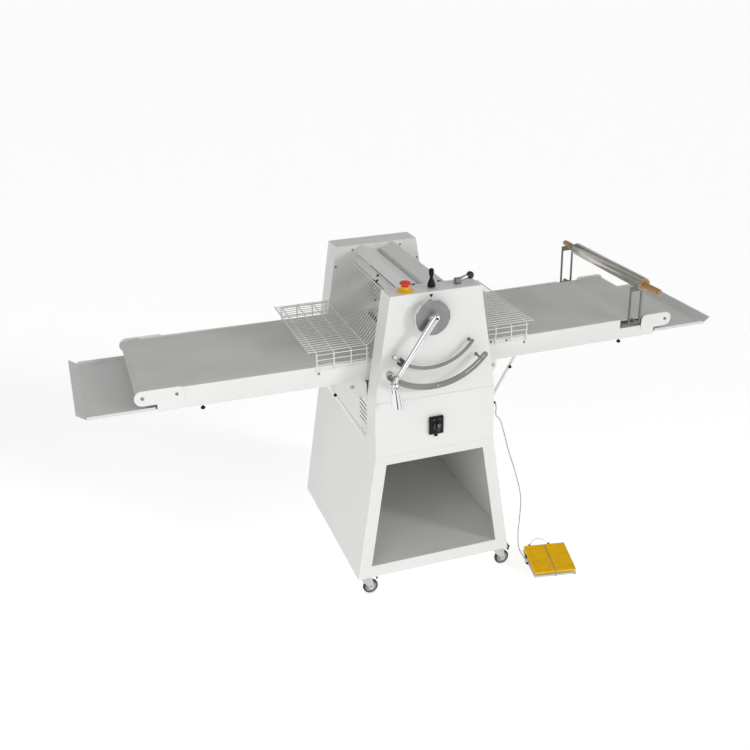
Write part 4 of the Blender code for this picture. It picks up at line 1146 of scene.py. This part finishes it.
# ---------------------------------------------------------------- controls
ESTOP_RING = [(0.0108, 0.0045), (0.0108, 0.0162), (0.0114, 0.0166), (0.0148, 0.0166), (0.0156, 0.0158)]
ESTOP_RING += [(0.0158, 0.0040), (0.0170, 0.0032), (0.0290, 0.0030), (0.0299, 0.0022), (0.0300, 0.0)]
ESTOP_RING += [(0.0, 0.0)]
ESTOP_CAP = [(0.0, 0.0355), (0.0060, 0.0353), (0.0120, 0.0342), (0.0168, 0.0320), (0.0195, 0.0295)]
ESTOP_CAP += [(0.0203, 0.0275), (0.0201, 0.0260), (0.0188, 0.0248), (0.0103, 0.0236), (0.0103, 0.0102)]
ESTOP_CAP += [(0.0, 0.0100)]
JOYSTICK = [(0.0, 0.0690), (0.0050, 0.0686), (0.0078, 0.0668), (0.0088, 0.0640), (0.0089, 0.0590)]
JOYSTICK += [(0.0086, 0.0500), (0.0074, 0.0455), (0.0060, 0.0420), (0.0058, 0.0370), (0.0064, 0.0325)]
JOYSTICK += [(0.0090, 0.0272), (0.0106, 0.0226), (0.0108, 0.0212), (0.0122, 0.0180), (0.0130, 0.0156)]
JOYSTICK += [(0.0131, 0.0144), (0.0138, 0.0112), (0.0140, 0.0080), (0.0140, 0.0047), (0.0040, 0.0046)]
JOYSTICK += [(0.0040, 0.0010), (0.0, 0.0010)]
BALL_R = 0.014
BUSH_HALF = 0.0105
SWITCH_HIGH = 0.070
SWITCH_BOSS = [(0.0, 0.0), (0.016, 0.0), (0.016, 0.0045), (0.0148, 0.006), (0.0, 0.006)]
SWITCH_DOT = [(0.0, 0.0), (0.0018, 0.0), (0.0016, 0.0006), (0.0, 0.0006)]
SWITCH_DOT_X = 0.012


def build_ball_lever():
    pivot = joint_at("ball_lever_turn")
    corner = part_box("ball_lever")[1]
    knob = Vector((corner.x - BALL_R, pivot.y + 0.0005, corner.z - BALL_R))
    start = pivot + Vector((0.0, 0.0, 0.012))
    low = pivot + Vector((-BUSH_HALF, -BUSH_HALF, 0.0001))
    bush = rounded_box(low, pivot + Vector((BUSH_HALF, BUSH_HALF, 0.0200)), 0.0018, 3)
    piece("ball_lever_bush", bush, DARK_STEEL, "ball_lever", ["ball_lever"])
    reach = (knob - start).length
    stem = [(0.0, 0.0), (0.0078, 0.0), (0.0080, reach - 0.012), (0.0070, reach - 0.010), (0.0, reach - 0.010)]
    turned("ball_lever_stem", stem, start, knob - start, ZINC, "ball_lever", steps=40)
    shape = ball(BALL_R, 16)
    turned("ball_lever_ball", shape, knob, (0, 0, 1), BLACK_GLOSS, "ball_lever", angle=80)


def build_controls():
    low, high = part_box("estop_base")
    foot = ((low.x + high.x) / 2, (low.y + high.y) / 2, low.z)
    turned("estop_ring", ESTOP_RING, foot, (0, 0, 1), YELLOW, "frame", ["estop_base"], steps=64)
    turned("estop_mushroom", ESTOP_CAP, foot, (0, 0, 1), RED, "estop_button", ["estop_button"], steps=64)
    pivot = joint_at("joystick_tilt")
    turned("joystick_boot", JOYSTICK, pivot, (0, 0, 1), BLACK, "joystick", ["joystick"], angle=50)
    build_ball_lever()


def build_switch():
    low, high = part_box("main_switch")
    z_low = high.z - SWITCH_HIGH
    body = rounded_box((low.x, low.y + 0.002, z_low), (high.x, high.y, high.z), 0.0025, 3)
    rim_high = (high.x - 0.004, low.y + 0.004, high.z - 0.004)
    rim = rounded_box((low.x + 0.004, low.y, z_low + 0.004), rim_high, 0.0015, 3)
    tab = rounded_box((-0.0062, low.y + 0.006, low.z), (0.0062, high.y, z_low + 0.004), 0.0015, 3)
    piece("switch_plate", joined([body, rim, tab]), BLACK, "frame", ["main_switch"])
    centre = joint_at("main_switch_turn")
    turn = Matrix.Translation(centre)
    grip = rounded_box((-0.0046, -0.0170, -0.0150), (0.0046, -0.0040, 0.0150), 0.0020, 4, turn)
    knob = joined([lathe(SWITCH_BOSS, centre, FORWARD), grip])
    piece("switch_grip", knob, BLACK_GLOSS, "switch_knob", ["switch_knob"])
    line = rounded_box((-0.0007, -0.01725, 0.0020), (0.0007, -0.0165, 0.0130), 0.0002, 1, turn)
    piece("switch_grip_line", line, WHITE, "switch_knob")
    dots = [lathe(SWITCH_DOT, (sign * SWITCH_DOT_X, low.y, high.z - 0.010), FORWARD, 20) for sign in (-1, 1)]
    piece("switch_marks", joined(dots), HUB, "frame")


# ---------------------------------------------------------------- casters
HUB_R = 0.0214
HUB_BORE = 0.0046
AXLE_R = 0.004
NUT = [(0.0, 0.0035), (0.0050, 0.0035), (0.0062, 0.0025), (0.0062, 0.0), (0.0, 0.0)]
PLATE_HALF = (0.026, 0.020)
PLATE_THICK = 0.003
PLATE_BOLT = [(0.0, 0.0026), (0.0028, 0.0026), (0.0038, 0.0018), (0.0038, 0.0), (0.0, 0.0)]
PLATE_BOLTS = [(x, y) for x in (-0.018, 0.018) for y in (-0.0125, 0.0125)]
RACEWAY = [(0.0, -0.0025), (0.0150, -0.0025), (0.0180, -0.0045), (0.0185, -0.0070), (0.0170, -0.0085)]
RACEWAY += [(0.0175, -0.0105), (0.0165, -0.0120), (0.0, -0.0120)]
CHEEK_GAP = 0.0022
CHEEK_THICK = 0.0022
EYE_R = 0.0105
BRAKE_PAD = ((0.0190, -0.0150, -0.0110), (0.0520, 0.0150, -0.0045))
BRAKE_TAIL = ((0.0460, -0.0100, -0.0280), (0.0510, 0.0100, -0.0090))


def build_wheel(name, axle, half):
    """A grey tyre round a ribbed hub, both turned about the axle."""
    body = f"caster_{name}_wheel"
    node_name = f"caster_wheel_{name}"
    radius = axle.z
    tyre = [(0.0215, half - 0.0015), (radius - 0.0045, half - 0.0012), (radius - 0.0012, half - 0.0035)]
    tyre = mirrored([*tyre, (radius, half - 0.0065)])
    turned(f"wheel_tyre_{name}", [*tyre, tyre[0]], axle, (0, 1, 0), TYRE, body, [node_name], steps=64)
    hub = [(HUB_BORE, half), (0.0080, half), (0.0090, half - 0.0010), (0.0095, half - 0.0035)]
    hub += [(0.0190, half - 0.0040), (0.0200, half - 0.0012), (HUB_R, half - 0.0012)]
    hub = mirrored(hub)
    turned(f"wheel_hub_{name}", [*hub, hub[0]], axle, (0, 1, 0), HUB, body)


def cheek(swivel, axle, way, half):
    """One side of the pressed fork, from the crown down to a round eye at the axle."""
    top = swivel.z
    inner = swivel.y + way * (half + CHEEK_GAP)
    outer = inner + way * CHEEK_THICK
    outline = [(swivel.x - 0.0140, top - 0.0125), (swivel.x + 0.0250, top - 0.0125)]
    outline += [(swivel.x + 0.0275, top - 0.0190), (axle.x + EYE_R, axle.z + 0.004)]
    for index in range(9):
        angle = -math.pi * (0.1 + 0.8 * index / 8)
        outline.append((axle.x + EYE_R * math.cos(angle), axle.z + EYE_R * math.sin(angle)))
    outline += [(axle.x - 0.0115, axle.z + 0.006), (swivel.x - 0.0150, top - 0.0210)]
    nut = lathe(NUT, (axle.x, outer, axle.z), (0, way, 0), 6)
    return [slab(outline, min(inner, outer), max(inner, outer), 0.0005, 2), nut]


def build_fork(name, swivel, axle, half):
    plate_x, plate_y = PLATE_HALF
    plate_low = swivel - Vector((plate_x, plate_y, PLATE_THICK))
    parts = [rounded_box(plate_low, swivel + Vector((plate_x, plate_y, 0.0)), 0.0007, 2)]
    for x, y in PLATE_BOLTS:
        parts.append(lathe(PLATE_BOLT, swivel + Vector((x, y, -PLATE_THICK)), (0, 0, -1), 6))
    parts.append(lathe(RACEWAY, swivel, (0, 0, 1), 40))
    for way in (-1, 1):
        parts += cheek(swivel, axle, way, half)
    wide = half + CHEEK_GAP + CHEEK_THICK
    crown_low = swivel + Vector((-0.0150, -wide, -0.0148))
    parts.append(rounded_box(crown_low, swivel + Vector((0.0262, wide, -0.0112)), 0.0010, 2))
    reach = Vector((0.0, half + 0.003, 0.0))
    parts.append(tubes([[axle - reach, axle + reach]], AXLE_R, 4))
    fork = f"caster_fork_{name}"
    piece(f"{fork}_pressed", joined(parts), ZINC, f"caster_{name}_swivel", [fork])


def build_brake(name, swivel):
    parts = []
    for (low, high), radius in ((BRAKE_PAD, 0.0016), (BRAKE_TAIL, 0.0015)):
        parts.append(rounded_box(swivel + Vector(low), swivel + Vector(high), radius, 3))
    piece(f"caster_brake_{name}", joined(parts), BLACK, f"caster_{name}_swivel")


def build_casters():
    for name in ("front_left", "front_right", "back_left", "back_right"):
        swivel = joint_at(f"caster_{name}_turn")
        axle = joint_at(f"caster_{name}_roll")
        low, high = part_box(f"caster_wheel_{name}")
        half = (high.y - low.y) / 2
        build_wheel(name, axle, half)
        build_fork(name, swivel, axle, half)
        if name.startswith("front"):
            build_brake(name, swivel)


# ---------------------------------------------------------------- foot pedal and cord
PEDAL_HALF = 0.0851
PEDAL_TOP = 0.045
PEDAL_UNDER = 0.027
PEDAL_HINGE_Y = 0.0735
PEDAL_RUN = 0.157
PEDAL_PAD_HALF = 0.0835
PEDAL_SPLIT = 0.0024
PEDAL_LOW_DROP = 0.0095
PEDAL_HIGH_DROP = 0.020
TRAY_HIGH = 0.0195
TRAY_DROP = 0.0105
RIBS = 6
RIB_START = -0.062
RIB_PITCH = 0.0215
RIB_WIDE = 0.0030
LOOP_Y = PEDAL_HALF - 0.007
LOOP = (
    (-0.060, LOOP_Y, 0.0375),
    (-0.045, LOOP_Y + 0.005, 0.062),
    (-0.020, LOOP_Y + 0.006, 0.0665),
    (0.008, LOOP_Y + 0.004, 0.055),
    (0.020, LOOP_Y, 0.0375),
)
LOOP_END = [(0.0, 0.012), (0.0042, 0.0115), (0.0054, 0.009), (0.0054, 0.0), (0.0, 0.0)]


def pedal_matrix():
    """The pedal unit's turned frame, from the two pedal joints: origin on the floor at the unit's middle."""
    left = joint_at("pedal_left_press")
    right = joint_at("pedal_right_press")
    across = (right - left).normalized()
    ahead = Vector((-across.y, across.x, 0.0))
    middle = (left + right) / 2 - ahead * PEDAL_HINGE_Y
    turn = Matrix((across, ahead, Vector((0, 0, 1)))).transposed().to_4x4()
    return Matrix.Translation((middle.x, middle.y, 0.0)) @ turn


def sloped(bm, place):
    """Places a pedal piece, lowered towards its front edge and more at the pads' top than at their underside."""
    for vertex in bm.verts:
        share = (PEDAL_HINGE_Y - vertex.co.y) / PEDAL_RUN
        height = (vertex.co.z - PEDAL_UNDER) / (PEDAL_TOP - PEDAL_UNDER)
        vertex.co.z -= share * (PEDAL_LOW_DROP + (PEDAL_HIGH_DROP - PEDAL_LOW_DROP) * height)
    bmesh.ops.transform(bm, matrix=place, verts=bm.verts)
    return mesh_of(bm)


def sloped_block(low, high, radius, place):
    bm = bmesh.new()
    bm.from_mesh(rounded_box(low, high, radius, 3))
    return sloped(bm, place)


def pedal_tray(place):
    """The tray sloping down to the front, its upright back edge, and the web between the pedals."""
    half = PEDAL_HALF
    bm = bmesh.new()
    bm.from_mesh(rounded_box((-half, -half, 0.0), (half, half, TRAY_HIGH), 0.0022, 3))
    for vertex in bm.verts:
        if vertex.co.z > TRAY_HIGH / 2:
            vertex.co.z -= TRAY_DROP * (half - vertex.co.y) / (2 * half)
    bmesh.ops.transform(bm, matrix=place, verts=bm.verts)
    back_low = (0.003 - half, half - 0.012, 0.014)
    back = rounded_box(back_low, (half - 0.003, half - 0.002, 0.0385), 0.0015, 3, place)
    web = sloped_block((-0.0014, 0.010 - half, 0.006), (0.0014, half - 0.006, 0.0400), 0.0008, place)
    return joined([mesh_of(bm), back, web])


def pedal_notches(place):
    """The two catches under the front edge and the switch box on the left side."""
    front = -PEDAL_HALF - 0.0002
    notches = []
    for x in (-0.004, PEDAL_HALF - 0.012):
        notches.append(rounded_box((x, front, 0.0030), (x + 0.011, front + 0.0062, 0.0066), 0.0008, 2, place))
    notches.append(rounded_box((front, 0.030, 0.003), (front + 0.0102, 0.056, 0.021), 0.003, 3, place))
    return joined(notches)


def pedal_pad(left, right, place):
    """A pad with a raised rim round a slightly lower tread."""
    bm = box_mesh((left, PEDAL_HINGE_Y - PEDAL_RUN + 0.0003, PEDAL_UNDER), (right, PEDAL_HINGE_Y, PEDAL_TOP))
    top = [face for face in bm.faces if face.normal.z > 0.9]
    bmesh.ops.inset_region(bm, faces=top, thickness=0.005, depth=0.0)
    tread = [face for face in bm.faces if face.normal.z > 0.9 and face.calc_area() > 0.006]
    bmesh.ops.inset_region(bm, faces=tread, thickness=0.0012, depth=-0.0016)
    return sloped(bm, place)


def build_pedal():
    place = pedal_matrix()
    piece("pedal_tray", pedal_tray(place), TRAY_GREY, "frame", ["pedal_base"])
    piece("pedal_notches", pedal_notches(place), BLACK, "frame")
    for side, sign in SIDES:
        pedal = f"pedal_{side}"
        left, right = sorted((sign * PEDAL_SPLIT, sign * PEDAL_PAD_HALF))
        pad = piece(f"{pedal}_pad", pedal_pad(left, right, place), PEDAL_YELLOW, pedal, [pedal])
        softened(pad, 0.0018, 3)
        ribs = []
        for index in range(RIBS):
            y = RIB_START + index * RIB_PITCH
            low = (left + 0.010, y, 0.0430)
            ribs.append(sloped_block(low, (right - 0.010, y + RIB_WIDE, 0.0440), 0.0003, place))
        piece(f"{pedal}_ribs", joined(ribs), PEDAL_YELLOW, pedal)
    points = [place @ Vector(point) for point in LOOP]
    loop = tubes([smooth_route(points, 0.004)], 0.0013, 3)
    piece("pedal_loop", loop, ZINC, "frame", angle=70)
    ends = [lathe(LOOP_END, point - Vector((0, 0, 0.004)), (0, 0, 1), 20) for point in (points[0], points[-1])]
    piece("pedal_loop_ends", joined(ends), BLACK, "frame")


CORD_R = 0.0022
CORD_ROUTE = (
    (0.2345, -0.3510, 0.7385),
    (0.2395, -0.3540, 0.7380),
    (0.2395, -0.3615, 0.7200),
    (0.2390, -0.3640, 0.6900),
    (0.2600, -0.3640, 0.6604),
    (0.2932, -0.3682, 0.5375),
    (0.3233, -0.3724, 0.4409),
    (0.3450, -0.3767, 0.3555),
    (0.3499, -0.3809, 0.2967),
    (0.3453, -0.3851, 0.2268),
    (0.3399, -0.3893, 0.1753),
    (0.3414, -0.3936, 0.1151),
    (0.3528, -0.3978, 0.0769),
    (0.3720, -0.3990, 0.0422),
    (0.3790, -0.3950, 0.0180),
    (0.3900, -0.3890, 0.0110),
)
BASE_GLAND = [(0.0024, 0.009), (0.0040, 0.0088), (0.0052, 0.004), (0.0060, 0.0), (0.0024, 0.0)]
BASE_GLAND_PLACE = (0.2322, -0.3502, 0.7387)
BASE_GLAND_WAY = (0.85, -0.5, -0.1)
PEDAL_GLAND = [(0.0026, 0.0), (0.0046, 0.0005), (0.0042, 0.010), (0.0032, 0.018), (0.0026, 0.019)]


def build_cord():
    """The foot pedal's light cable: it leaves the base's right side, hangs free and enters the pedal unit."""
    route = smooth_route([at(*point) for point in CORD_ROUTE], 0.006)
    curve = wire_curve("pedal_cable", [route], CORD_R, 3)
    curve.materials.append(CABLE)
    cable = linked(bpy.data.objects.new("pedal_cable", curve))
    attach(cable, "frame")
    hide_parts("pedal_cord")
    glands = (
        ("cord_gland_base", BASE_GLAND, at(*BASE_GLAND_PLACE), BASE_GLAND_WAY),
        ("cord_gland_pedal", PEDAL_GLAND, route[-1] + Vector((0.001, 0.0003, 0)), route[-4] - route[-1]),
    )
    for name, profile, place, way in glands:
        turned(name, profile, place, way, BLACK, "frame", steps=24)


# ---------------------------------------------------------------- everything
build_camera()
build_cord()
build_stage()
build_base()
build_head()
build_rollers()
for side_name, side_sign in SIDES:
    build_table(side_name, side_sign)
    build_guard(side_name, side_sign)
build_rolling_pin()
build_lever()
build_controls()
build_switch()
build_casters()
build_pedal()
